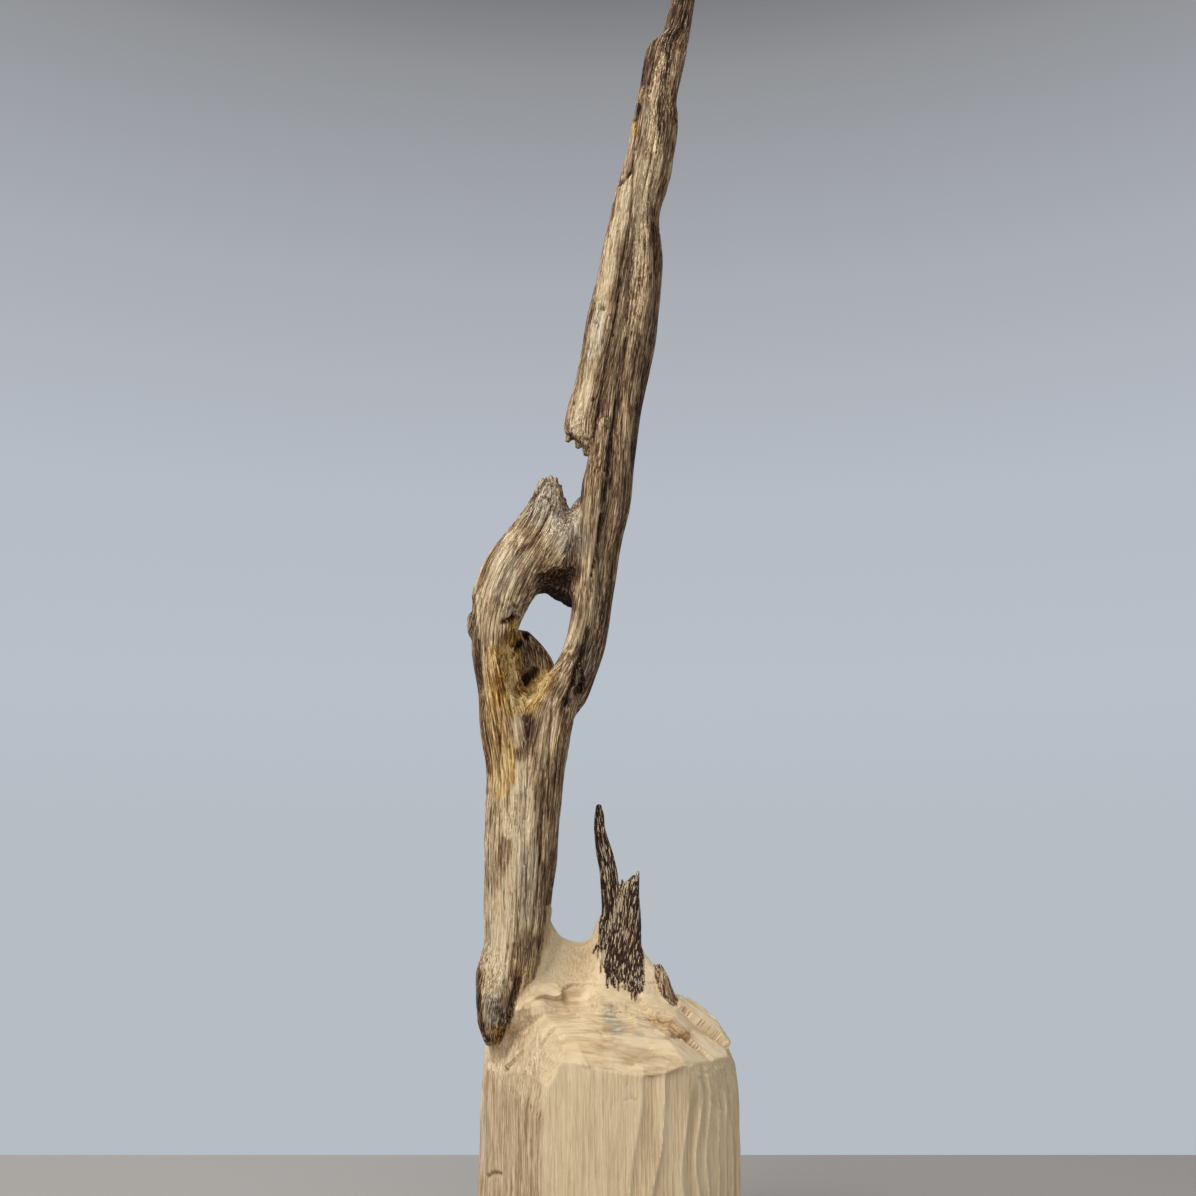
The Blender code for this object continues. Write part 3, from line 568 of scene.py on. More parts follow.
# Marks on the wood, by kind: strength, radius, and the line that they follow on the mark plane, x and z in turn
marks = {
    # pale marks: the wood's own pale streaks, and painted light in the hollow of the crotch
    "pale": [
        (0.5, 3.6, [-40, 276.1, -44.7, 267, -47.7, 253.4, -48.5, 235.1, -47.8, 215.1]),
        (0.3, 2.6, [-40.3, 274.1, -37.4, 264.5, -40.1, 254.6]),
        (0.7, 3, [-12, 286.6, -15.7, 280.3, -20.5, 272.8]),
        (0.45, 1.8, [-35.7, 228.7, -38.4, 222.3, -40, 225.1]),
        (0.55, 3.5, [-24.5, 222.3, -27.2, 215.1, -29.1, 208]), (0.45, 3, [-38.7, 190.7, -37.4, 181.8]),
        (1, 1.5, [-35, 206.4, -35.7, 200.1, -35.2, 193.5]), (0.9, 4, [-31.6, 186.1, -34.5, 172.2, -39, 160.8]),
        (0.6, 4.2, [-31, 170.3, -32, 153.2, -36.4, 141.2, -39.8, 134.5]),
        (1, 2.6, [-29.4, 166.5, -30.9, 157.7, -35, 148.7, -37.9, 139]),
        (0.9, 5.5, [-40.9, 134.5, -41.8, 118, -41.9, 103.4]), (0.6, 2, [-46.4, 103.4, -45.6, 98]),
        (0.5, 1.2, [-28.1, 111.8, -28.7, 102.7]), (0.45, 1.6, [-6.5, 103.4, -9.1, 98]),
        (1, 1.3, [7.2, 140.5, 2.2, 129, -0.8, 118, -2.4, 111.4]), (0.9, 0.9, [4.2, 142, 11.1, 142]),
        (0.5, 2.4, [15.8, 111.8, 15.3, 99.8]), (0.6, 1, [21, 108.1, 22.8, 98.8]),
        (0.3, 4, [-17.7, 79.5, -6.5, 76.7, 2.8, 76.7]),
        (0.7, 2.6, [24.8, 496.8, 22, 482, 20.1, 467.3, 19.9, 451.4]),
        (0.9, 2.8, [16.8, 443.3, 16.7, 431.5, 15.4, 419.7, 14.4, 410.4, 13.5, 401.2]),
        (1, 0.8, [17.8, 403.5, 14.8, 397]), (0.5, 1.6, [12.6, 394.3, 11.7, 380.6, 10.8, 368.8]),
        (1, 3.3, [9.9, 436.2, 6.4, 419.7, 2.5, 405.8, -0.1, 389.7, -2.7, 376.1, -5.2, 362.6, -6.8, 347, -9.7,
         336, -11.8, 323.8]),
        (0.5, 2, [-5.9, 293, -7.6, 276.1, -9.5, 259.6, -10.3, 249.3]), (0.35, 2, [-13.5, 241.2, -16.2, 231.1]),
        (0.4, 1.1, [-1.1, 293, -1.5, 278.2]), (0.8, 1.2, [-20.7, 138.6, -19.5, 134.9, -21, 132.3]),
        # painted light: the next two lines lift the hollow of the crotch, which lies in shade
        (1, 3.6, [-39.3, 231.1, -37.6, 221.1, -35.9, 214.3]),
        (1, 4, [-25.7, 220.7, -29.2, 214.3, -33.5, 209.5]),
        (0.7, 4, [-28.9, 153.2, -29.5, 134.5, -28.2, 125.3]),
        (0.55, 4.5, [-24, 211.1, -23.5, 197.4, -23.8, 183]), (0.4, 4, [-41.7, 179.9, -41.9, 149.5]),
        (0.2, 7, [-16.5, 285.4, -14.8, 276.1]), (0.35, 9, [19, 445.7, 16.7, 422.1, 14.2, 380.6]),
        (0.5, 2.4, [-44.8, 96.2, -43.2, 87.3]), (0.35, 4, [-45.4, 69.7, -44.3, 45.4]),
        (0.3, 5, [-8.3, 235.1, -3.5, 267.8, -0.2, 293]), (0.4, 3, [-1.2, 153.2, -1.6, 145]),
        (0.9, 0.9, [-36.5, 231.9, -35.2, 225.5, -34.8, 219.9]), (0.5, 4.5, [-24.5, 223.1, -29.6, 212.7]),
        (0.6, 1.5, [-14.3, 74.6, -13.5, 70]), (0.6, 1.3, [-3.9, 73.9, -3.5, 70.4]),
        (0.6, 1.8, [3.9, 74.2, 12.1, 72.8]), (0.35, 4, [-32.3, 179.9, -31.9, 149.5]),
        (0.45, 3, [-23.4, 179.9, -23.1, 149.5]), (0.3, 5, [-41.8, 71.4, -40.4, 35.2]),
        (0.9, 1.8, [-30.2, 165.3, -33.1, 153.2, -36.8, 140.1]), (0.95, 4.5, [-32.3, 179.9, -32.7, 149.5]),
        (0.55, 3, [-6.8, 290.8, -5.9, 261.6]),
    ],
    # dark marks: partly the wood's own dark streaks and cracks, partly painted shade in the cracks, under the
    # bridge and under the flange's broken foot
    "dark": [
        (0.9, 1.1, [-24.8, 301.4, -34.5, 288.7, -43.2, 277, -48.7, 263.7, -51.3, 254.6]),
        (1, 2.4, [-53, 240, -52.3, 227.1, -51.3, 215.1, -49.5, 204, -47.7, 193.5, -46.4, 183.7]),
        (1, 2.2, [-54.4, 251.4, -54.8, 248.1, -54.3, 244.8]),
        # the next two lines and the first mark on the third darken the underside of the bridge and the fringe
        # below it: partly their own colour, partly painted shade
        (0.35, 2.4, [-26.9, 264.5, -20.8, 265.3, -14, 267.8]),
        (1, 4.5, [-24.8, 260.4, -18.8, 258.3, -13.2, 262.9]),
        (1, 3.6, [-25.6, 255.5, -19.6, 253, -14.7, 249.7]), (1, 0.9, [-41.1, 242.4, -37.5, 243.6]),
        (0.4, 2.6, [-44.8, 229.1, -45.8, 215.1]), (1, 0.9, [-33.1, 242.4, -32.2, 236.7]),
        (1, 0.8, [-34.6, 234.3, -37.7, 228.7]), (0.15, 5.5, [-31.4, 231.9, -25.3, 226.3]),
        (1, 1.8, [-29.3, 222.3, -32, 219.1, -33.5, 215.1]), (0.9, 0.8, [-35.3, 227.1, -34.7, 215.1]),
        (0.9, 2.4, [-31, 203.2, -31.3, 196.2, -33.2, 188.8]), (1, 1.6, [-29.4, 202.5, -30.2, 197]),
        (0.8, 1, [-33.7, 197.4, -34, 193.1]), (0.65, 3.4, [-21.5, 185.7, -22.5, 164.6, -23, 142, -24.4, 119.8]),
        (0.4, 1.1, [-19.9, 179.9, -20.1, 153.2, -21.4, 130.8]),
        (0.35, 1.2, [-26, 211.1, -25.8, 195.4, -24.9, 176]), (0.6, 2.8, [-30.4, 118, -33.4, 111.8, -35.2, 107]),
        (0.9, 1.3, [-33.3, 105.2, -35.8, 98.8, -37.5, 87.3]),
        (0.95, 0.9, [-48, 108.1, -48.2, 98, -47.3, 90.2, -44.6, 83.4]),
        (0.95, 1.2, [-33.7, 104.5, -35.8, 98.8, -36.1, 93.7, -37.9, 87.3, -40.1, 83.4]),
        (0.75, 5.5, [34.4, 522.8, 30.2, 505.2]),
        (0.65, 1.6, [27.5, 501.7, 24.6, 479.5, 23.5, 460.1, 25.2, 452.9]),
        (0.7, 1.5, [17.2, 494.3, 14.9, 474.6, 14.7, 452.9]),
        (0.7, 1.5, [30.3, 479.5, 28.7, 460.1, 26.8, 445.7, 24.1, 431.5, 20.9, 419.7]),
        (0.8, 2, [21.4, 419.7, 21.2, 398.9, 20.2, 380.6, 18.3, 360.3, 15.6, 340.4, 12.6, 322.9, 11.3, 305.7]),
        (0.6, 1.1, [10.6, 408.1, 7.5, 392, 5.8, 380.6]),
        (0.7, 1.5, [8.2, 362.6, 6.5, 349.2, 4, 336, 2.3, 322.9, -0.2, 305.7, -1.5, 293]),
        (0.5, 1.4, [14.1, 364.8, 10.7, 344.8, 8.9, 331.6]), (1, 1.1, [14, 472.7, 12.2, 464.9]),
        (0.8, 0.8, [11.6, 440.5, 8.2, 437.1, 5.1, 434.3]), (0.6, 1, [13, 456.2, 12.1, 451.4]),
        # painted shadow under the broken foot of the flange: the first mark on the next line
        (0.9, 0.9, [-16.7, 321.6, -13.4, 319, -10.5, 317.3]), (0.5, 1, [-9.7, 327.3, -6.8, 332.5]),
        (0.85, 0.8, [-9.7, 305.7, -10.8, 293]),
        (0.8, 0.8, [1.4, 318.6, 0.6, 307.9, -1.1, 293, -2.7, 280.3, -3.9, 272, -5.1, 265.3]),
        (0.9, 1.3, [-6.7, 241.2, -8.3, 233.1, -10.6, 227.1, -12.6, 221.1, -14.2, 215.1, -15.7, 209.1]),
        (0.4, 1.4, [-9.4, 219.1, -11.8, 213.1, -14.1, 209.1]),
        (0.5, 2.2, [8.8, 301.4, 5.4, 280.3, 2.5, 263.7, -0.3, 247.3, -1.1, 235.1]),
        (0.6, 1.4, [-17.3, 211.1, -19.2, 197.4, -20.3, 185.7]), (0.5, 1.4, [-1.3, 92.3, 4, 92.7]),
        (0.9, 1.2, [22.7, 86.2, 29.4, 85.5]), (0.6, 2, [17.9, 91.6, 23.5, 90.2]),
        (0.5, 0.8, [-1.3, 88.4, 5.5, 87.3]), (0.35, 3, [-23.9, 293, -29.1, 280.3, -34.2, 269.9]),
        (0.4, 1.6, [-31, 267.8, -33.3, 257.5, -35.6, 251.4]), (0.5, 0.9, [-34.8, 283.3, -32.3, 280.3]),
        (0.5, 0.9, [-37.1, 274.1, -34.2, 271.1]), (0.4, 1.4, [-35, 267, -30.1, 260.8]),
        (0.4, 1, [-30.4, 293.8, -31.1, 282.8]), (0.45, 1, [-48.5, 211.1, -47.8, 195.4, -46.6, 172.2]),
        (0.5, 1, [-19.9, 187.6, -19.7, 153.2, -20.6, 123.5]),
        (0.75, 2.6, [-40.6, 236.7, -40.4, 226.3, -41.4, 215.1]), (0.55, 2.4, [-37.6, 225.5, -37.1, 215.1]),
        (0.5, 2.4, [-44.5, 235.1, -45.2, 225.5]), (0.35, 4, [-43.8, 215.1, -43.4, 193.5]),
        (0.3, 1, [-9.1, 75.3, -0.5, 74.2]), (0.3, 1, [14, 73.2, 22.5, 73.9]),
        (0.5, 3, [-46.9, 255.5, -48.3, 243.2]), (0.4, 2.4, [-38.3, 274.1, -40.6, 265.8]),
        (0.5, 4, [-46, 251.4, -45.1, 219.1]), (0.35, 5, [-33.5, 281.2, -27, 272.8]),
        (0.3, 4, [-41.7, 179.9, -41.2, 149.5]), (0.25, 3.4, [-44.5, 207.2, -43.3, 183.7]),
        (0.25, 3, [-29.1, 138.2, -28.9, 121.6]), (0.45, 2.6, [-23.1, 297.2, -22.6, 289.6]),
        (0.12, 3, [6.4, 424.4, 6.3, 401.2]), (0.5, 5, [21.6, 491.8, 24.3, 452.9]),
        (0.25, 4, [-6, 360.3, -6, 329.5]),
    ],
    "gold": [
        (0.8, 2.8, [-37, 240.8, -39.3, 234.3, -40.5, 229.1]),
        (1, 4.2, [-38.2, 235.1, -40.4, 226.3, -42.6, 211.1]), (0.7, 3, [-44.9, 231.1, -45.8, 215.1]),
        (1, 2.6, [-35.7, 228.7, -38.4, 222.3, -36.7, 215.1]),
        (1, 3.4, [-37.4, 208, -34.3, 212.3, -30.4, 216.7]), (1, 4.6, [-25.3, 220.7, -28, 215.1, -31.9, 208.8]),
        (0.55, 6, [-44.2, 214.3, -43.5, 195.4, -42.8, 180.7]),
        (0.8, 3.2, [-38.7, 191.5, -37.8, 183, -41.6, 175.3]), (0.6, 2.4, [-40.2, 87.3, -41.6, 82.7]),
        (0.3, 5, [-9.2, 116.1, -11, 107, -13.3, 103.4]), (0.4, 3.4, [-30.3, 107, -31.3, 98]),
        (0.6, 2, [-31.6, 93.7, -28.7, 95.2]), (1, 2.6, [17.1, 90.9, 22.7, 87.3]),
        (0.9, 2.6, [22.7, 88.7, 29.4, 85.9]), (0.4, 3, [-17.7, 81.6, -2.8, 81.6]),
        (0.9, 1.3, [12.6, 463, 12.2, 458.2]), (1, 1.4, [-36.5, 231.9, -35.2, 225.5, -34.8, 219.9]),
    ],
    "grey": [
        (0.4, 4, [-28.9, 149.5, -29.4, 129]), (0.9, 4, [-42.2, 97, -41.4, 91.6]),
        (1, 3.4, [0.3, 93.4, 4, 87.7]), (0.4, 4, [17.8, 86.6, 12.2, 84.8]),
        (0.7, 3, [-5.9, 231.1, -7.5, 222.3]), (0.8, 5, [-25.2, 298.9, -29.1, 286.6]),
        (0.7, 8, [-19, 290.8, -14, 276.1]), (0.4, 4, [-37, 267.8, -42.9, 255.5]),
        (0.5, 3.4, [-2.7, 373.8, -5.2, 358.1]), (0.5, 4, [-45.4, 67.9, -44.3, 48.8]),
        (0.3, 5, [-40.6, 69.7, -40.1, 35.2]),
    ],
    "crumb": [
        (1, 3.4, [-40.8, 249.3, -35.6, 248.9, -32, 252.2]),
        (0.9, 1.6, [-30.4, 257.5, -33.2, 252.2, -35.5, 245.6]),
        (0.9, 4.5, [-25.3, 221.1, -28.4, 214.3, -34.2, 208.8]), (0.6, 3.4, [-40, 227.1, -38.3, 217.1]),
        (0.9, 3.6, [-12.2, 330.8, -13.4, 323.8, -9.3, 317.7]), (0.8, 3.4, [-42.2, 96.2, -42.1, 90.2]),
        (0.4, 2.8, [-33, 175.3, -38.2, 157.7]), (0.8, 3.5, [-24.8, 259.6, -14.8, 255.5]),
        (0.6, 2, [-24, 302.3, -19.9, 300.6]), (0.9, 2.6, [17.9, 90.2, 22.7, 86.6, 29.4, 85.9]),
        (0.6, 2, [-0.5, 92.7, 3.2, 92.3]),
    ],
    "fleck": [
        (1, 4.5, [27.6, 509.2, 23.7, 484.4, 21.3, 460.1, 18.1, 436.2, 15.3, 412.7, 13.5, 389.7, 10.8, 367]),
        (0.6, 4, [-2.7, 251.4, -3.9, 235.1]), (0.5, 3, [-2.7, 380.6, -6, 358.1]),
        (0.4, 3, [-2.8, 91.6, 5.5, 89.4]),
    ],
}
# Cracks, seams and worm holes: half width, depth, and the line on the mark plane, x and z in turn
cracks = [
    (0.45, 1.5, [2.3, 319.5, 1, 307.9, -1.1, 293, -2.7, 280.3, -4.3, 269.9, -5.9, 261.6]),
    (0.8, 2.6, [-7.5, 239.1, -9.5, 230.3, -12.2, 223.9, -14.2, 215.9, -16.1, 209.1]),
    (0.8, 1.2, [-9.8, 218.7, -11.8, 213.5]),
    (0.5, 1.3, [13.1, 467.3, 12.1, 450.5, 11.6, 431.5, 11.1, 417.4, 6.3, 394.3, 5.4, 380.6, 1.5, 360.3, -0.6,
     344.8, -3.5, 331.6, -6, 318.6]),
    (0.6, 1.2, [11.6, 440.5, 8.2, 437.1, 5.1, 434.3]), (1, 2, [14, 471.7, 12.6, 465.9]),
    (0.45, 1, [4, 336, 2.3, 322.9, -0.2, 305.7]), (0.45, 0.9, [14.1, 364.8, 10.7, 344.8]),
    (0.45, 0.8, [23.7, 477.1, 23.9, 460.1]), (0.9, 1.9, [-41.1, 242.4, -37.5, 243.6]),
    (0.9, 2.2, [-33.1, 242.4, -32.2, 236.7]), (0.8, 2, [-34.6, 234.3, -37.7, 228.7]),
    (1.5, 3, [-28.9, 222.7, -32.4, 218.7, -33.9, 215.1]), (0.7, 1.2, [-35.3, 227.1, -34.7, 215.9]),
    (0.5, 1, [-24.2, 183.7, -25.5, 160.8, -26.8, 134.5, -28.6, 121.6]),
    (0.4, 0.8, [-42.2, 215.1, -41.6, 201.3, -42.2, 186.8]), (0.4, 0.7, [-38.9, 201.3, -37.5, 187.6]),
    (0.5, 1, [-21.6, 211.1, -22.6, 187.6, -22.5, 164.6]), (0.9, 2, [-1.4, 377]), (0.7, 1.6, [-4.8, 370.6]),
    (0.7, 1.8, [2.8, 364.8]), (0.7, 1.6, [-13.5, 334.7]), (0.7, 1.5, [-5.6, 336.4]), (0.5, 1.2, [0.3, 367]),
    (0.5, 1.2, [1.6, 373.8]), (0.5, 1.2, [1.2, 409.9]), (0.6, 1.1, [-44.1, 36.5, -41.9, 37.5, -39, 37.2]),
    (0.4, 0.5, [-3.5, 87.3, -0.5, 84.1, 2.5, 83]), (0.35, 0.4, [21.2, 84.8, 25.6, 84.5, 29.8, 85.9]),
    (0.35, 0.35, [6.5, 62.7, 10.9, 62.7]), (0.4, 0.45, [12.2, 91.2, 22.7, 90.9]),
    (0.5, 0.9, [-35.7, 118, -36.3, 107]),
]
# What the photograph doesn't show has the same stains, wherever they fall: kind, strength, how much less the
# carved wood has, where the stain starts and is full, the size of its lumps, and its seed
unseenStains = [
    ("gold", 0.6, 0.5, 0.25, 0.55, (13, 13, 60), 84),
    ("pale", 0.8, 0.0, 0.15, 0.50, (7, 7, 70), 85),
    ("dark", 0.8, 0.7, 0.15, 0.50, (6, 6, 55), 86),
]
# Relief of the wood: strength in mm, and the size of its lumps across, through and along the grain
weatheredRelief = [
    (0.8, (8, 8, 46)),
    (0.14, (2.6, 2.6, 34)),
    (0.20, (1.1, 1.1, 16)),
]
# grooves between the fibres: depth, narrowness, and size as above
weatheredGrooves = [
    (0.28, 0.08, (3.4, 3.4, 70)),
    (0.26, 0.15, (1.4, 1.4, 30)),
]
carvedRelief = [
    (0.35, (13, 13, 22)),
    (0.10, (2.2, 2.2, 45)),
]
crumbRelief = [
    (0.9, (3, 3, 3.6)),
    (0.5, (1.4, 1.4, 1.6)),
]
grownFaceRelief = [
    (0.4, (4, 4, 30)),
    (0.25, (1.4, 1.4, 20)),
]
reliefShape = {
    "splitDepth": 0.9,
    "splitRange": (0.46, 0.72),
    "splitSize": (2.4, 2.4, 55),
    "darkSpikeShare": 0.45,     # the dark spike is smoother
    "tornReach": (6, 3),
    "tornDepth": 0.6,
    "tornSize": (0.9, 9, 9),
    "tornDrop": 0.2,
    "fullThickness": 7,         # a limb thinner than this has shallower relief
    "thinShare": 0.3,
}
# Where one kind of wood ends and the next begins, in millimetres
edges = {
    "jag": [(1.3, (5, 5, 9)), (0.8, (1.3, 1.3, 8))],
    "bark": (-0.4, 0.4),
    "offLimb": (2.4, 3.4),      # the weathered skin ends this far off a limb, below this height
    "offLimbTop": 150,
    "facing": (-0.3, 0.1),      # how a face has to turn to the photograph's camera to be seen
    "streakJag": 6.5,           # the resin ends in long teeth
    "streakSize": (0.95, 1, 60),
    "resinReach": 12,
    "resinBack": 4,             # the resin goes round to the back above this height only
    "resinFoot": 111,
    "splinterReach": 1.5,
    "splinterFoot": 94,
    "grownFace": (-0.9, -0.3),
    "fibrous": (1.0, -1.5),
    "fibrousShare": 0.6,
    "mark": (1.35, 0.4),        # how a mark fades, as a share of its radius
}


def limbSpine(limb):
    # the middle line of a limb, its sideways direction, half width, half thickness, and length so far
    rows = np.array(smoothRows(limb["ribs"], sculpt["limbStep"]))
    middle = np.stack([(rows[:, 0] + rows[:, 2]) / 2, rows[:, 4], (rows[:, 1] + rows[:, 3]) / 2], axis=1)
    for _ in range(6):
        middle[1:-1] = (middle[:-2] + 2 * middle[1:-1] + middle[2:]) / 4
    run = np.gradient(middle[:, (0, 2)], axis=0)
    run /= np.linalg.norm(run, axis=1)[:, None]
    side = np.stack([run[:, 1], np.zeros(len(run)), -run[:, 0]], axis=1)
    across = np.stack([rows[:, 2] - rows[:, 0], np.zeros(len(run)), rows[:, 3] - rows[:, 1]], axis=1) / 2
    halfWidth = np.abs((across * side).sum(axis=1))
    steps = np.linalg.norm(np.diff(middle, axis=0), axis=1)
    travelled = np.concatenate([[0], np.cumsum(steps)])
    return np.concatenate([middle, side, halfWidth[:, None], rows[:, 5:6], travelled[:, None]], axis=1)


def followLimbs(points):
    # for each point: across, through and along its limb, the limb's number, its thickness, how far off it is,
    # and the shade of the limbs around it
    power = 2 / sculpt["squareness"]
    off, nearest = np.full(len(points), 60.0), np.full(len(points), 60.0)
    shades, weights = np.zeros(len(points)), np.full(len(points), 1e-9)
    grain = points.copy()
    owner = np.zeros(len(points), int)
    thickness = np.full(len(points), 10.0)
    for number, limb in enumerate(limbs):
        spine = limbSpine(limb)
        margin = 8 + spine[:, 6].max()
        least, most = spine[:, :3].min(axis=0) - margin, spine[:, :3].max(axis=0) + margin
        near = ((points > least) & (points < most)).all(axis=1)
        spots = points[near]
        best = np.full(len(spots), 1e9)
        place = np.zeros(len(spots))
        for row, (start, end) in enumerate(zip(spine[:-1, :3], spine[1:, :3])):
            step = end - start
            share = np.clip((spots - start) @ step / (step @ step), 0, 1)
            apart = ((spots - start - share[:, None] * step) ** 2).sum(axis=1)
            closer = apart < best
            best[closer] = apart[closer]
            place[closer] = row + share[closer]
        low = np.minimum(place.astype(int), len(spine) - 2)
        share = (place - low)[:, None]
        here = spine[low] * (1 - share) + spine[low + 1] * share
        away = spots - here[:, :3]
        side = here[:, 3:6]
        across, through = (away * side).sum(axis=1), away[:, 1]
        beyond = np.abs(away[:, 0] * -side[:, 2] + away[:, 2] * side[:, 0])
        form = ((np.abs(across) / here[:, 6]) ** power + (np.abs(through) / here[:, 7]) ** power) ** (1 / power)
        thin = np.minimum(here[:, 6], here[:, 7])
        gap = (form - 1) * thin + beyond
        weight = np.exp(-np.clip(gap, -3, 20) / 0.8)
        shades[near] += weight * limb["shade"]
        weights[near] += weight
        nearest[near] = np.minimum(nearest[near], gap)
        if not limb.get("ownGrain", True):
            continue
        better = gap < off[near]
        chosen = np.flatnonzero(near)[better]
        off[chosen] = gap[better]
        owner[chosen] = number
        thickness[chosen] = thin[better]
        grain[chosen] = np.stack([across + 31 * number, through, here[:, 8] + 400 * number], axis=1)[better]
    return grain, owner, thickness, nearest, shades / weights


def seenFromFront(points):
    # where the ray from the photograph's camera to each point crosses the mark plane, as x and z
    eye = np.array(photoCamera["place"])
    share = (photoCamera["markPlane"] - eye[1]) / (points[:, 1] - eye[1])
    return eye[[0, 2]] + (points[:, [0, 2]] - eye[[0, 2]]) * share[:, None]


points, normals = readVectors(wood.data, "co"), readVectors(wood.data, "normal")
grain, owner, thickness, away, limbShade = followLimbs(points)
print("grain follows the limbs")

x, y, z = points.T
onDarkSpike, onSplinter = owner == limbs.index(darkSpike), owner == limbs.index(sideSplinter)
jag = layered(points, edges["jag"], 3)
edgeX = np.interp(z, *zip(*barkEdge))
weathered = smoothStep(*edges["bark"], np.where(z > barkTop, 9, edgeX - x + jag)) * (z > barkFoot)
weathered *= 1 - smoothStep(*edges["offLimb"], away) * (z < edges["offLimbTop"])
front = seenFromFront(points)
toEye = np.array(photoCamera["place"]) - points
toEye /= np.linalg.norm(toEye, axis=1)[:, None]
facing = smoothStep(*edges["facing"], (normals * toEye).sum(axis=1))
frontPlane = np.stack([front[:, 0], 0 * x, front[:, 1]], axis=1)
streakJag = edges["streakJag"] * waves(frontPlane, edges["streakSize"], 5)
resin = insideOutline(front[:, 0] + 0.3 * jag, front[:, 1] + streakJag + 0.5 * jag, resinOutline)
resin &= (away < edges["resinReach"]) & ((y < edges["resinBack"]) | (z > edges["resinFoot"] + 0.4 * streakJag))
weathered = np.maximum(weathered, resin)
weathered = np.maximum(weathered, onSplinter & (away < edges["splinterReach"]) & (z > edges["splinterFoot"] + jag))
carved = 1 - weathered
facePoint, faceOut = [np.array(part) for part in carvedBlock["naturalFace"]]
natural = smoothStep(*edges["grownFace"], (points - facePoint) @ faceOut + 0.25 * jag)
fibrousX = np.interp(front[:, 1], *zip(*fibrousEdge))
fibrous = smoothStep(*edges["fibrous"], front[:, 0] - fibrousX + jag) * facing
natural = np.maximum(natural, edges["fibrousShare"] * fibrous * (y < 0)) * carved
grain = np.where(carved[:, None] > 0.5, points, grain)
slope = (fibrous > 0.5) & (carved > 0.5) & (normals[:, 2] > 0.3)
grain[slope] = np.stack([front[:, 0], 0.2 * y, front[:, 1]], axis=1)[slope]

raggedFront = front + severalWaves(grain, (2.2, 2.2, 9), 70, 3)[:, [0, 2]]
strengths = {kind: np.zeros(len(points)) for kind in marks}
for kind, strokes in marks.items():
    for strength, radius, line in strokes:
        spread = distanceToLine(raggedFront, line) / radius
        strengths[kind] = np.maximum(strengths[kind], strength * smoothStep(*edges["mark"], spread) * facing)
crumb = strengths["crumb"]
for kind, strength, less, start, full, size, seed in unseenStains:
    stain = (strength - less * carved) * smoothStep(start, full, waves(grain, size, seed))
    strengths[kind] += (1 - facing) * stain

relief = weathered * layered(grain, weatheredRelief, 20)
for number, (depth, narrow, size) in enumerate(weatheredGrooves):
    relief -= weathered * depth * np.exp(-(waves(grain, size, 26 + number) / narrow) ** 2)
splits = smoothStep(*reliefShape["splitRange"], waves(grain, reliefShape["splitSize"], 31))
relief -= weathered * reliefShape["splitDepth"] * splits
relief *= np.where(onDarkSpike, reliefShape["darkSpikeShare"], 1)
relief += crumb * layered(points, crumbRelief, 33)
relief += natural * layered(grain, grownFaceRelief, 36)
torn = smoothStep(*reliefShape["tornReach"], distanceToLine(points, tornGrain))
tornDepth = reliefShape["tornDepth"] * waves(points, reliefShape["tornSize"], 38)
relief += torn * (tornDepth - reliefShape["tornDrop"])
relief += carved * layered(points, carvedRelief, 40)
thin = np.clip(thickness / reliefShape["fullThickness"], reliefShape["thinShare"], 1)
relief *= np.where(carved > 0.5, 1, thin)

crackDepth = np.zeros(len(points))
wobble = front + 0.5 * severalWaves(points, (2.5, 2.5, 5), 50, 2)
for halfWidth, depth, line in cracks:
    spread = distanceToLine(wobble, line) / halfWidth
    crackDepth = np.maximum(crackDepth, depth * facing * np.exp(-spread ** 2))

# flutes of the gouge around the block
middleX, middleY = carvedBlock["middle"]
turned = np.degrees(np.arctan2(y - middleY, x - middleX))
turned = np.where(turned < -150, turned + 360, turned)
turned += flutes["drift"] * smoothStep(72, 44, z) * (0.6 + 0.8 * waves(points, (25, 25, 30), 60))
fluted = np.zeros(len(points))
# the cuts' tone: lighter or darker at random, with painted highlights on the flutes' ridges added below
facetToneAndPaintedGlint = 0.5 * waves(normals, (0.22, 0.22, 0.22), 90) + 0.3 * waves(points, (9, 9, 30), 91)
ridges = flutes["ridges"]
for left, right, top, depth in zip(ridges, ridges[1:], flutes["tops"], flutes["depths"]):
    share = (turned - left) / (right - left)
    skew, fade = rng.uniform(*flutes["skew"]), rng.uniform(*flutes["fade"])
    bowl = 4 * np.clip(share, 0, 1) ** skew * (1 - np.clip(share, 0, 1) ** skew)
    cut = depth * bowl ** 0.8 * smoothStep(0, fade, top - 2 * (2 * share - 1) ** 2 - z)
    here = (share >= 0) & (share < 1)
    fluted = np.where(here, cut, fluted)
    # a thin painted highlight along the ridge beside each flute
    fromRidge = np.minimum(share, 1 - share) * (right - left) * 0.7
    glint = flutes["glint"] * np.exp(-(fromRidge / flutes["glintHalf"]) ** 2)
    lighter = (rng.uniform(*flutes["tone"]) + glint) * smoothStep(0, fade, top - z)
    facetToneAndPaintedGlint = np.where(here, facetToneAndPaintedGlint + lighter, facetToneAndPaintedGlint)
fluted *= carved * smoothStep(0.75, 0.45, np.abs(normals[:, 2])) * (z > 0.5)

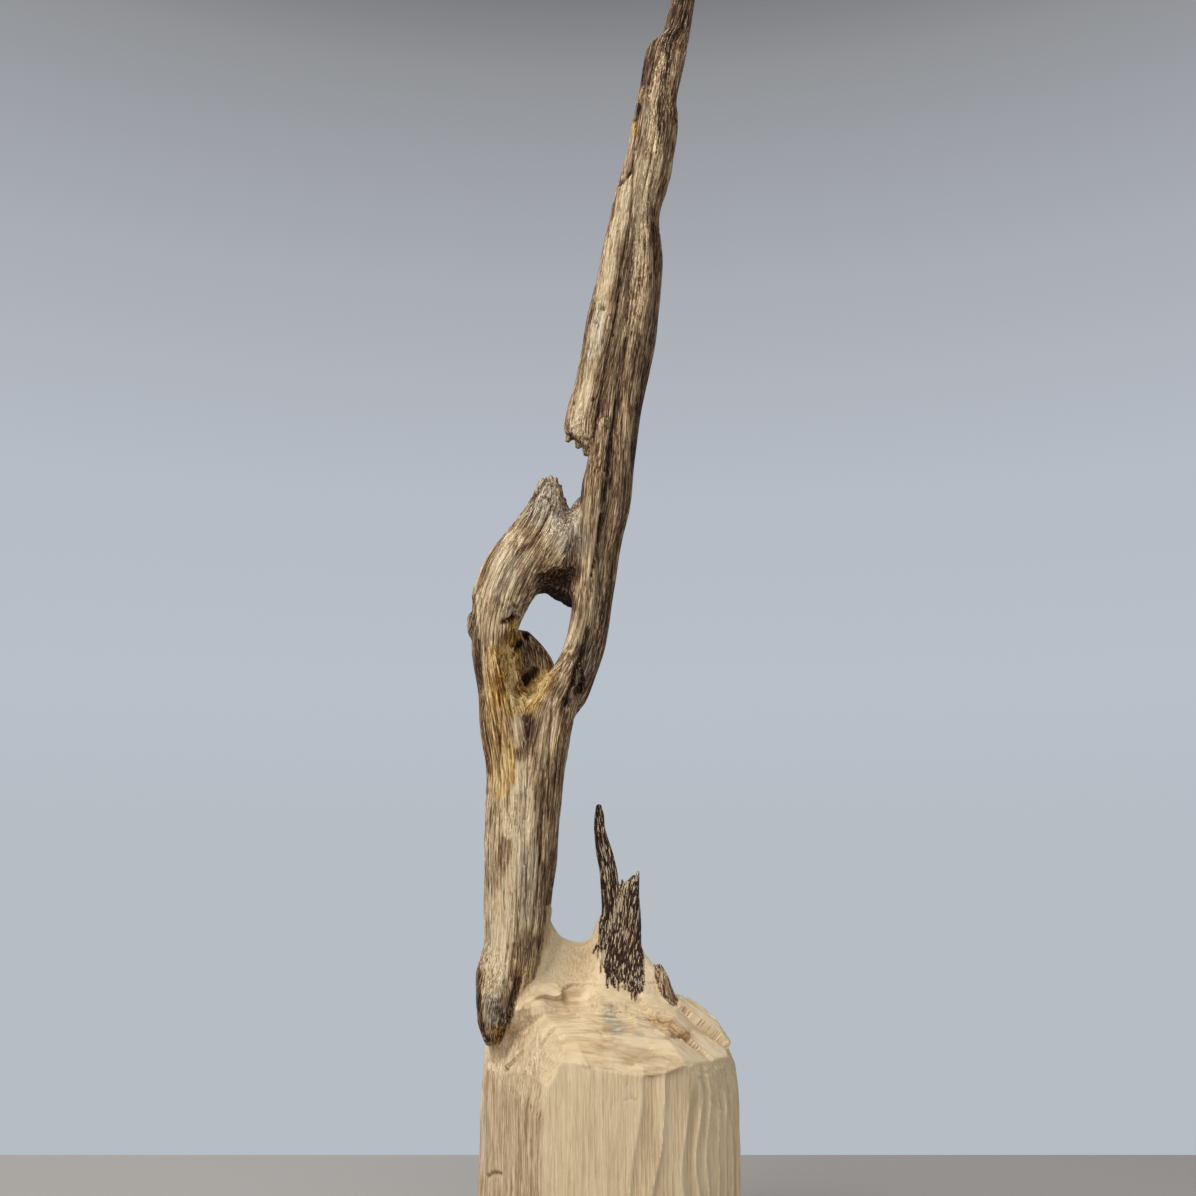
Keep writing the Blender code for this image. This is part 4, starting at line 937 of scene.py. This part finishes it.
# small knife cuts on the shoulder: each tilts the wood around its middle a little
middles = rng.uniform(knifeCuts["from"], knifeCuts["to"], (knifeCuts["count"], 2))
tilts = rng.uniform(-1, 1, (knifeCuts["count"], 2)) * knifeCuts["tilt"]
shares = rng.uniform(-1, 1, knifeCuts["count"]) * knifeCuts["tone"]
shoulder = np.flatnonzero((carved > 0.5) & (normals[:, 2] > 0.3) & (z > 60) & (z < 104))
spots = points[shoulder][:, :2] + 0.8 * severalWaves(points[shoulder], (6, 6, 6), 95, 2)
stretched = spots * knifeCuts["stretch"]
gaps = np.linalg.norm(stretched[:, None] - (middles * knifeCuts["stretch"])[None], axis=2)
nearest = gaps.argmin(axis=1)
closest, second = np.partition(gaps, 1, axis=1)[:, :2].T
onShoulder = smoothStep(0.3, 0.5, normals[shoulder, 2])
relief[shoulder] += onShoulder * ((spots - middles[nearest]) * tilts[nearest]).sum(axis=1)
facetToneAndPaintedGlint[shoulder] += onShoulder * shares[nearest]
seam = np.exp(-((second - closest) / knifeCuts["seam"]) ** 2)
seam *= smoothStep(-0.1, 0.3, waves(points[shoulder], (9, 9, 9), 97))
facetToneAndPaintedGlint[shoulder] -= onShoulder * (knifeCuts["seamTone"] * seam + knifeCuts["shade"])
relief -= fluted + crackDepth
relief *= smoothStep(0.0, 2.0, z)
points = points + normals * relief[:, None]

low, high = [np.array(corner) / mm for corner in cadBounds]
points = np.clip(points, low, high)
wood.data.vertices.foreach_set("co", points.ravel())
wood.data.update()
print("relief carved")

# painted shade: darker where the relief sinks and in the cracks
paintedRecessShade = np.clip(0.5 - 0.28 * relief * (1 - 0.6 * carved) + 0.3 * crackDepth, 0, 1)


def keep(name, kind, field, values):
    layer = wood.data.attributes.new(name, kind, "POINT")
    layer.data.foreach_set(field, values.astype(np.float32).ravel())


# flat cuts run across the fibres, and the knife drew them out from left to right there
acrossFibres = (carved > 0.5) & (natural < 0.3) & (normals[:, 2] > 0.6)
grain[acrossFibres] *= (0.05, 0.3, 1)
keep("grain", "FLOAT_VECTOR", "vector", grain)
shade = 0.5 + limbShade + 0.125 * waves(points, (22, 22, 60), 80)
facetToneAndPaintedGlint = np.clip(0.5 + 0.5 * facetToneAndPaintedGlint, 0, 1)
colourLayers = {
    # the pale and dark marks hold painted light and painted shade in places
    "wood": (carved, strengths["pale"], strengths["dark"]),
    # gold stain, painted shade in the recesses, and grey weathering
    "stain": (strengths["gold"], paintedRecessShade, strengths["grey"]),
    "growth": (resin, natural, shade),
    # crumbs, flecks, and the cuts' tone with its painted highlights on the flutes' ridges
    "wear": (crumb, strengths["fleck"], facetToneAndPaintedGlint),
}
for name, channels in colourLayers.items():
    keep(name, "FLOAT_COLOR", "color", np.stack([*channels, np.ones(len(points))], axis=1))
print("marks laid on")


# The skin is parted along the same lines as the solids, without their gaps
blockRegion = [
    (-75, -10), (75, -10), (75, 130), (16.3, 130), (16.3, 108), (4.75, 108), (4.75, 121), (-8, 121), (-8, 131),
    (-18.8, 131), (-18.8, 100), (-75, 100),
]
trunkRegion = [
    (-75, 100), (-18.8, 100), (-18.8, 131), (-10, 131), (-12, 165), (12, 200), (12, 226), (-75, 226),
]
forkLine = [(-20.5, 226), (-15.5, 240), (-13, 262), (-11.5, 275), (-11, 302), (-31, 330)]
hookRegion = [(-75, 226)] + forkLine + [(-75, 330)]
spireRegion = forkLine + [(-31, 580), (75, 580), (75, 226)]
curvedSpikeRegion = [(-8, 121), (4.65, 121), (4.65, 149), (9, 180), (-9, 180)]
darkSpikeRegion = [(4.65, 121), (4.75, 108), (16.3, 108), (16.3, 130), (16, 150), (4.65, 149)]
pieces = {
    "carved_block": ("carvedBlockWood", "pale_carved_wood", blockRegion),
    "trunk": ("trunkWood", "weathered_wood", trunkRegion),
    "hook_branch": ("hookBranchWood", "weathered_wood", hookRegion),
    "spire": ("spireWood", "weathered_wood", spireRegion),
    "curved_spike": ("curvedSpikeWood", "dark_resin_wood", curvedSpikeRegion),
    "dark_spike": ("darkSpikeWood", "dark_resin_wood", darkSpikeRegion),
}


def regionTool(outline):
    bm = bmesh.new()
    face = bm.faces.new([bm.verts.new((x, -70, z)) for x, z in outline])
    pushed = bmesh.ops.extrude_face_region(bm, geom=[face])
    moved = [item for item in pushed["geom"] if isinstance(item, bmesh.types.BMVert)]
    bmesh.ops.translate(bm, vec=(0, 140, 0), verts=moved)
    bmesh.ops.triangulate(bm, faces=bm.faces)
    return makeObject("region", makeMesh("region", bm))


def finishMesh(mesh):
    # metres, smooth faces, and sharp edges where the piece was parted
    mesh.transform(Matrix.Scale(mm, 4))
    mesh.shade_smooth()
    mesh.set_sharp_from_angle(angle=math.radians(62))
    mesh.update()


skinTree = kdtree.KDTree(len(points))
for number, point in enumerate(points):
    skinTree.insert(point, number)
skinTree.balance()


def fillRim(mesh):
    # the parting makes new points, which take the marks of the nearest point of the skin
    spots = readVectors(mesh, "co")
    found = np.empty(len(spots) * 3, np.float32)
    layer = mesh.attributes["grain"]
    layer.data.foreach_get("vector", found)
    found = found.reshape(-1, 3)
    new = np.flatnonzero((found == 0).all(axis=1))
    source = np.array([skinTree.find(spots[number])[1] for number in new])
    found[new] = grain[source] + spots[new] - points[source]
    layer.data.foreach_set("vector", found.ravel())
    for name in colourLayers:
        first = np.empty(len(points) * 4, np.float32)
        wood.data.attributes[name].data.foreach_get("color", first)
        values = np.empty(len(spots) * 4, np.float32)
        mesh.attributes[name].data.foreach_get("color", values)
        values = values.reshape(-1, 4)
        values[new] = first.reshape(-1, 4)[source]
        mesh.attributes[name].data.foreach_set("color", values.ravel())


dressed = {}
for node, (name, slot, region) in pieces.items():
    tool = regionTool(region)
    piece = makeObject(name, wood.data.copy())
    boolean(piece, tool, "INTERSECT")
    bpy.data.objects.remove(tool)
    fillRim(piece.data)
    if node == "carved_block":
        thin = piece.modifiers.new("thin", "DECIMATE")
        piece.data.calc_loop_triangles()
        thin.ratio = min(1, sculpt["blockTriangles"] / len(piece.data.loop_triangles))
        applyModifiers(piece)
    finishMesh(piece.data)
    piece.data.name = name
    piece.data.calc_loop_triangles()
    print(name, len(piece.data.loop_triangles), "triangles")
    dressed[node] = (piece, slot)
bpy.data.objects.remove(wood)
print("pieces parted")


def linear(hexColour):
    parts = [int(hexColour[i:i + 2], 16) / 255 for i in (1, 3, 5)]
    return tuple(c / 12.92 if c < 0.04045 else ((c + 0.055) / 1.055) ** 2.4 for c in parts) + (1.0,)


def addNode(tree, kind, settings=None, **links):
    # links name an input by its place, as in0, in1, or by its name with blanks left out
    node = tree.nodes.new(kind)
    for key, value in (settings or {}).items():
        setattr(node, key, value)
    for key, value in links.items():
        if key.startswith("in") and key[2:].isdigit():
            socket = node.inputs[int(key[2:])]
        else:
            socket = next(item for item in node.inputs if item.name.replace(" ", "") == key)
        if isinstance(value, bpy.types.NodeSocket):
            tree.links.new(value, socket)
        else:
            socket.default_value = value
    return node


def setRamp(node, stops):
    ramp = node.color_ramp
    while len(ramp.elements) < len(stops):
        ramp.elements.new(0.5)
    for element, (place, colour) in zip(ramp.elements, stops):
        element.position = place
        element.color = linear(colour) if isinstance(colour, str) else (colour, colour, colour, 1)


weatheredColours = [
    (0.00, "#1C120B"), (0.18, "#422D1D"), (0.36, "#684D35"), (0.52, "#876D50"), (0.68, "#A88F6C"),
    (0.84, "#C8AE87"), (1.00, "#E0CBA6"),
]
goldenColours = [
    (0.00, "#1E1208"), (0.22, "#4C3013"), (0.42, "#7F5621"), (0.58, "#A47A39"), (0.76, "#CAA05A"),
    (1.00, "#E7CC90"),
]
carvedColours = [
    (0.00, "#806849"), (0.28, "#AB9370"), (0.52, "#C8B28D"), (0.78, "#D7C39F"), (1.00, "#E4D4B4"),
]
silverColours = [
    (0.00, "#1E1611"), (0.18, "#423529"), (0.36, "#665646"), (0.52, "#857664"), (0.68, "#A79883"),
    (0.84, "#C7B9A1"), (1.00, "#DFD3BE"),
]
grownFaceColours = [
    (0.00, "#573E2A"), (0.25, "#806447"), (0.48, "#A58B69"), (0.72, "#C3AD8D"), (1.00, "#DCCDB7"),
]
# two colours each, between which the fibres vary
fibreColours = {
    "resin": ("#28170F", "#4E3324"),
    "cream": ("#A08560", "#EAD7B4"),
    "golden cut": ("#8E6A42", "#BD9A67"),
    "grey cut": ("#857C68", "#B7AB92"),
}
woodSurface = {
    "ior": 1.47,
    "specular": 0.25,
    "roughness": 0.84,
    "roughnessCarved": -0.14,   # added where the wood is carved
    "bump": 0.8,
    "bumpCarved": -0.55,        # added where the wood is carved
    "bumpDepth": 0.0014,
}


def makeWood(name):
    # Old agarwood: pale sapwood in fine straight streaks, grey-brown and ridged where it weathered, and
    # near-black with pale flecks where resin filled it. Each finish fades into the next over the surface.
    material = bpy.data.materials.new(name)
    material.use_nodes = True
    tree = material.node_tree
    shader = tree.nodes["Principled BSDF"]
    grain = addNode(tree, "ShaderNodeAttribute", {"attribute_name": "grain"}).outputs["Vector"]

    def channels(name):
        source = addNode(tree, "ShaderNodeAttribute", {"attribute_name": name}).outputs["Color"]
        return addNode(tree, "ShaderNodeSeparateColor", in0=source).outputs[:3]

    # the pale and dark marks hold painted light and painted shade in places
    carved, pale, deep = channels("wood")
    # the middle channel here is painted shade in the recesses, not a stain
    gold, paintedRecessShade, grey = channels("stain")
    resin, natural, shade = channels("growth")
    # the third channel is the cuts' tone with its painted highlights on the flutes' ridges
    crumb, fleck, facetToneAndPaintedGlint = channels("wear")

    def pattern(width, length, detail=3.0, roughness=0.6, distortion=0.0, shift=0.0, depth=0.0):
        # noise stretched along the grain, with lumps of the given width, length and depth in millimetres
        scaled = addNode(tree, "ShaderNodeMapping", in0=grain, Location=(shift, shift, shift),
                         Scale=(1 / width, 1 / (depth or width), 1 / length))
        return addNode(tree, "ShaderNodeTexNoise", in0=scaled.outputs[0], Scale=1.0, Detail=detail,
                       Roughness=roughness, Distortion=distortion).outputs["Fac"]

    def calc(operation, a, b=0.0, c=0.0):
        return addNode(tree, "ShaderNodeMath", {"operation": operation}, in0=a, in1=b, in2=c).outputs[0]

    def plus(total, *parts):
        # adds each pattern at its own strength
        for source, weight in parts:
            total = calc("MULTIPLY_ADD", source, weight, total)
        return total

    def tones(base, *parts):
        # adds each pattern around its middle
        return plus(base - 0.5 * sum(weight for source, weight in parts), *parts)

    def crisp(value, low, high):
        return addNode(tree, "ShaderNodeMapRange", {"interpolation_type": "SMOOTHSTEP"}, in0=value, in1=low,
                       in2=high, in3=0.0, in4=1.0).outputs[0]

    def mix(share, a, b):
        return addNode(tree, "ShaderNodeMix", {"data_type": "RGBA"}, in0=share, in6=a, in7=b).outputs[2]

    def vary(share, kind):
        return mix(share, *[linear(colour) for colour in fibreColours[kind]])

    streaks = pattern(1.1, 40, 4, 0.65, 0.3)
    fibres = pattern(0.62, 15, 2, 0.6, 0.3, 7.0)
    hairs = pattern(0.36, 5, 2, 0.6, 0.0, 3.0)
    blotches = pattern(9, 28, 3, 0.55, 0.6, 11.0)
    flecks = pattern(0.65, 3.4, 2, 0.5, 1.4, 5.0)
    dashes = pattern(0.6, 2.6, 2, 0.5, 0.6, 21.0)
    crumbs = pattern(1.1, 1.6, 3, 0.7, 0.4, 9.0)
    between = calc("ABSOLUTE", calc("SUBTRACT", pattern(1.7, 40, 2, 0.5, 0.4, 17.0), 0.5))
    groove = crisp(between, 0.030, 0.004)
    streakTone = crisp(streaks, 0.38, 0.62)
    fibreTone = crisp(fibres, 0.41, 0.59)
    dashTone = calc("SUBTRACT", crisp(dashes, 0.42, 0.34), crisp(dashes, 0.58, 0.66))

    def ramp(value, stops):
        node = addNode(tree, "ShaderNodeValToRGB", in0=value)
        setRamp(node, stops)
        return node.outputs[0]

    # weathered: high contrast in fine streaks, with painted shade in the recesses and cracks
    grainTone = tones(0.0, (streakTone, 0.18), (fibreTone, 0.36), (hairs, 0.9), (blotches, 0.26), (paintedRecessShade, -0.5))
    tone = calc("MULTIPLY_ADD", grainTone, calc("MULTIPLY_ADD", pale, -0.35, 1.0), calc("ADD", shade, 0.09))
    crumbTone, fleckTone = tones(0.0, (crumbs, 1.5)), plus(-0.10, (crisp(flecks, 0.50, 0.60), 0.45))
    tone = plus(tone, (dashTone, 0.16), (pale, 0.36), (deep, -0.29), (groove, -0.20), (crumb, crumbTone),
                (fleck, fleckTone))
    weathered = mix(grey, ramp(tone, weatheredColours), ramp(tone, silverColours))
    weathered = mix(gold, weathered, ramp(tone, goldenColours))

    # resin: near black, with cream flecks along the grain
    cream = crisp(tones(0.0, (pattern(0.5, 4.6, 2, 0.5, 0.3, 13.0, 1.5), 1.0), (pale, 0.12)), -0.02, 0.05)
    wet = mix(cream, vary(fibreTone, "resin"), vary(hairs, "cream"))
    weathered = mix(resin, weathered, wet)

    # carved: fine and even, each cut a little lighter or darker, and streaked with red on the grown left face
    # painted shade in the recesses, and painted highlights on the flutes' ridges in the cuts' tone
    even = tones(0.55, (streakTone, 0.12), (fibreTone, 0.13), (hairs, 0.45), (blotches, 0.3), (paintedRecessShade, -0.6),
                 (facetToneAndPaintedGlint, 0.34))
    even = plus(even, (pale, 0.25), (deep, -0.4), (crumb, tones(0.0, (crumbs, 1.4))))
    smooth = ramp(even, carvedColours)
    smooth = mix(calc("MULTIPLY", gold, 0.7), smooth, vary(fibreTone, "golden cut"))
    smooth = mix(calc("MULTIPLY", grey, 0.75), smooth, vary(fibreTone, "grey cut"))
    # painted shade in the recesses of the grown face too
    old = tones(0.53, (streakTone, 0.22), (fibreTone, 0.20), (hairs, 0.8), (blotches, 0.6), (paintedRecessShade, -0.5))
    old = plus(old, (pale, 0.25), (dashTone, 0.08), (groove, -0.12))
    smooth = mix(natural, smooth, ramp(old, grownFaceColours))
    colour = mix(carved, weathered, smooth)
    tree.links.new(colour, shader.inputs["Base Color"])

    surface = woodSurface
    rough = plus(surface["roughness"], (carved, surface["roughnessCarved"]))
    tree.links.new(rough, shader.inputs["Roughness"])
    shader.inputs["IOR"].default_value = surface["ior"]
    shader.inputs["Specular IOR Level"].default_value = surface["specular"]
    crumbRidges = calc("MULTIPLY", crumbs, 2.5)
    ridges = plus(0.0, (hairs, 0.6), (fibreTone, 0.4), (streakTone, 0.35), (groove, -0.6), (crumb, crumbRidges))
    force = plus(surface["bump"], (carved, surface["bumpCarved"]))
    bump = addNode(tree, "ShaderNodeBump", Strength=force, Distance=surface["bumpDepth"], Height=ridges)
    tree.links.new(bump.outputs[0], shader.inputs["Normal"])
    return material


finishes = {
    "pale_carved_wood": makeWood("knifeCutSapwood"),
    "weathered_wood": makeWood("weatheredHeartwood"),
    "dark_resin_wood": makeWood("resinFilledWood"),
}
for node, (piece, slot) in dressed.items():
    piece.data.materials.clear()
    piece.data.materials.append(finishes[slot])
    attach(piece, "root")
    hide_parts(node)
print("wood finished")

# Floor, light and camera, in metres
room = {
    "floorHalf": 1.6,
    "floorBack": 0.175,         # the floor's far edge
    "floorTop": -0.0002,
    "floorColour": "#8C8781",
    "floorRoughness": 0.7,
    "lampAim": (0, 0, 0.22),
    "lightColour": "#C3C8CE",
    "lightStrength": 0.74,
}
floorForm = bmesh.new()
half = room["floorHalf"]
corners = bmesh.ops.create_grid(floorForm, x_segments=1, y_segments=1, size=half)["verts"]
bmesh.ops.translate(floorForm, vec=(0, room["floorBack"] - half, room["floorTop"]), verts=corners)
floor = makeObject("floor", makeMesh("floor", floorForm))
floorPaint = bpy.data.materials.new("floorPaint")
floorPaint.use_nodes = True
floorInputs = floorPaint.node_tree.nodes["Principled BSDF"].inputs
floorInputs["Base Color"].default_value = linear(room["floorColour"])
floorInputs["Roughness"].default_value = room["floorRoughness"]
floor.data.materials.append(floorPaint)

lamps = [
    # name, place, size, power, colour
    ("key", (-0.75, -0.65, 1.1), 0.8, 20.0, "#FFFCF8"),
    ("fill", (0.5, -1.15, 0.28), 1.1, 6.8, "#F7F7FF"),
    ("back", (-0.3, 0.9, 0.9), 0.9, 6.0, "#F4F6FF"),
]
for name, place, size, power, colour in lamps:
    data = bpy.data.lights.new(name, "AREA")
    data.energy = power
    data.size = size
    data.color = linear(colour)[:3]
    lamp = makeObject(name, data)
    lamp.location = place
    lamp.rotation_euler = (Vector(room["lampAim"]) - Vector(place)).to_track_quat("-Z", "Y").to_euler()

wallColours = [
    (0.00, "#B6BDC5"), (0.12, "#B8C0CA"), (0.28, "#B6BCC6"), (0.43, "#AAAEB6"), (0.51, "#9EA1A8"),
    (0.57, "#929497"), (0.62, "#797A7D"),
]
world = bpy.data.worlds.new("room")
bpy.context.scene.world = world
world.use_nodes = True
sky = world.node_tree
# the wall: painted light, lighter low down and dimmer towards the top
wallHeight = addNode(sky, "ShaderNodeSeparateXYZ", in0=addNode(sky, "ShaderNodeTexCoord").outputs["Generated"])
wallColour = addNode(sky, "ShaderNodeValToRGB", in0=wallHeight.outputs["Z"])
setRamp(wallColour, wallColours)
wall = sky.nodes["Background"]
sky.links.new(wallColour.outputs[0], wall.inputs["Color"])
roomLight = addNode(sky, "ShaderNodeBackground", Color=linear(room["lightColour"]),
                    Strength=room["lightStrength"])
seen = addNode(sky, "ShaderNodeLightPath").outputs["Is Camera Ray"]
shown = addNode(sky, "ShaderNodeMixShader", in0=seen, in1=roomLight.outputs[0], in2=wall.outputs[0])
sky.links.new(shown.outputs[0], sky.nodes["World Output"].inputs["Surface"])
bpy.context.scene.view_settings.view_transform = "Standard"
bpy.context.scene.view_settings.look = "None"

cameraData = bpy.data.cameras.new("photoCamera")
cameraData.sensor_width = 36
cameraData.lens = 36 * photoCamera["focalPixels"] / photoCamera["pixels"]
cameraData.clip_start = 0.01
camera = makeObject("photoCamera", cameraData)
camera.location = Vector(photoCamera["place"]) * mm
camera.rotation_euler = (math.radians(90 + photoCamera["tiltDegrees"]), 0, 0)
bpy.context.scene.camera = camera
print("floor, light and camera set")
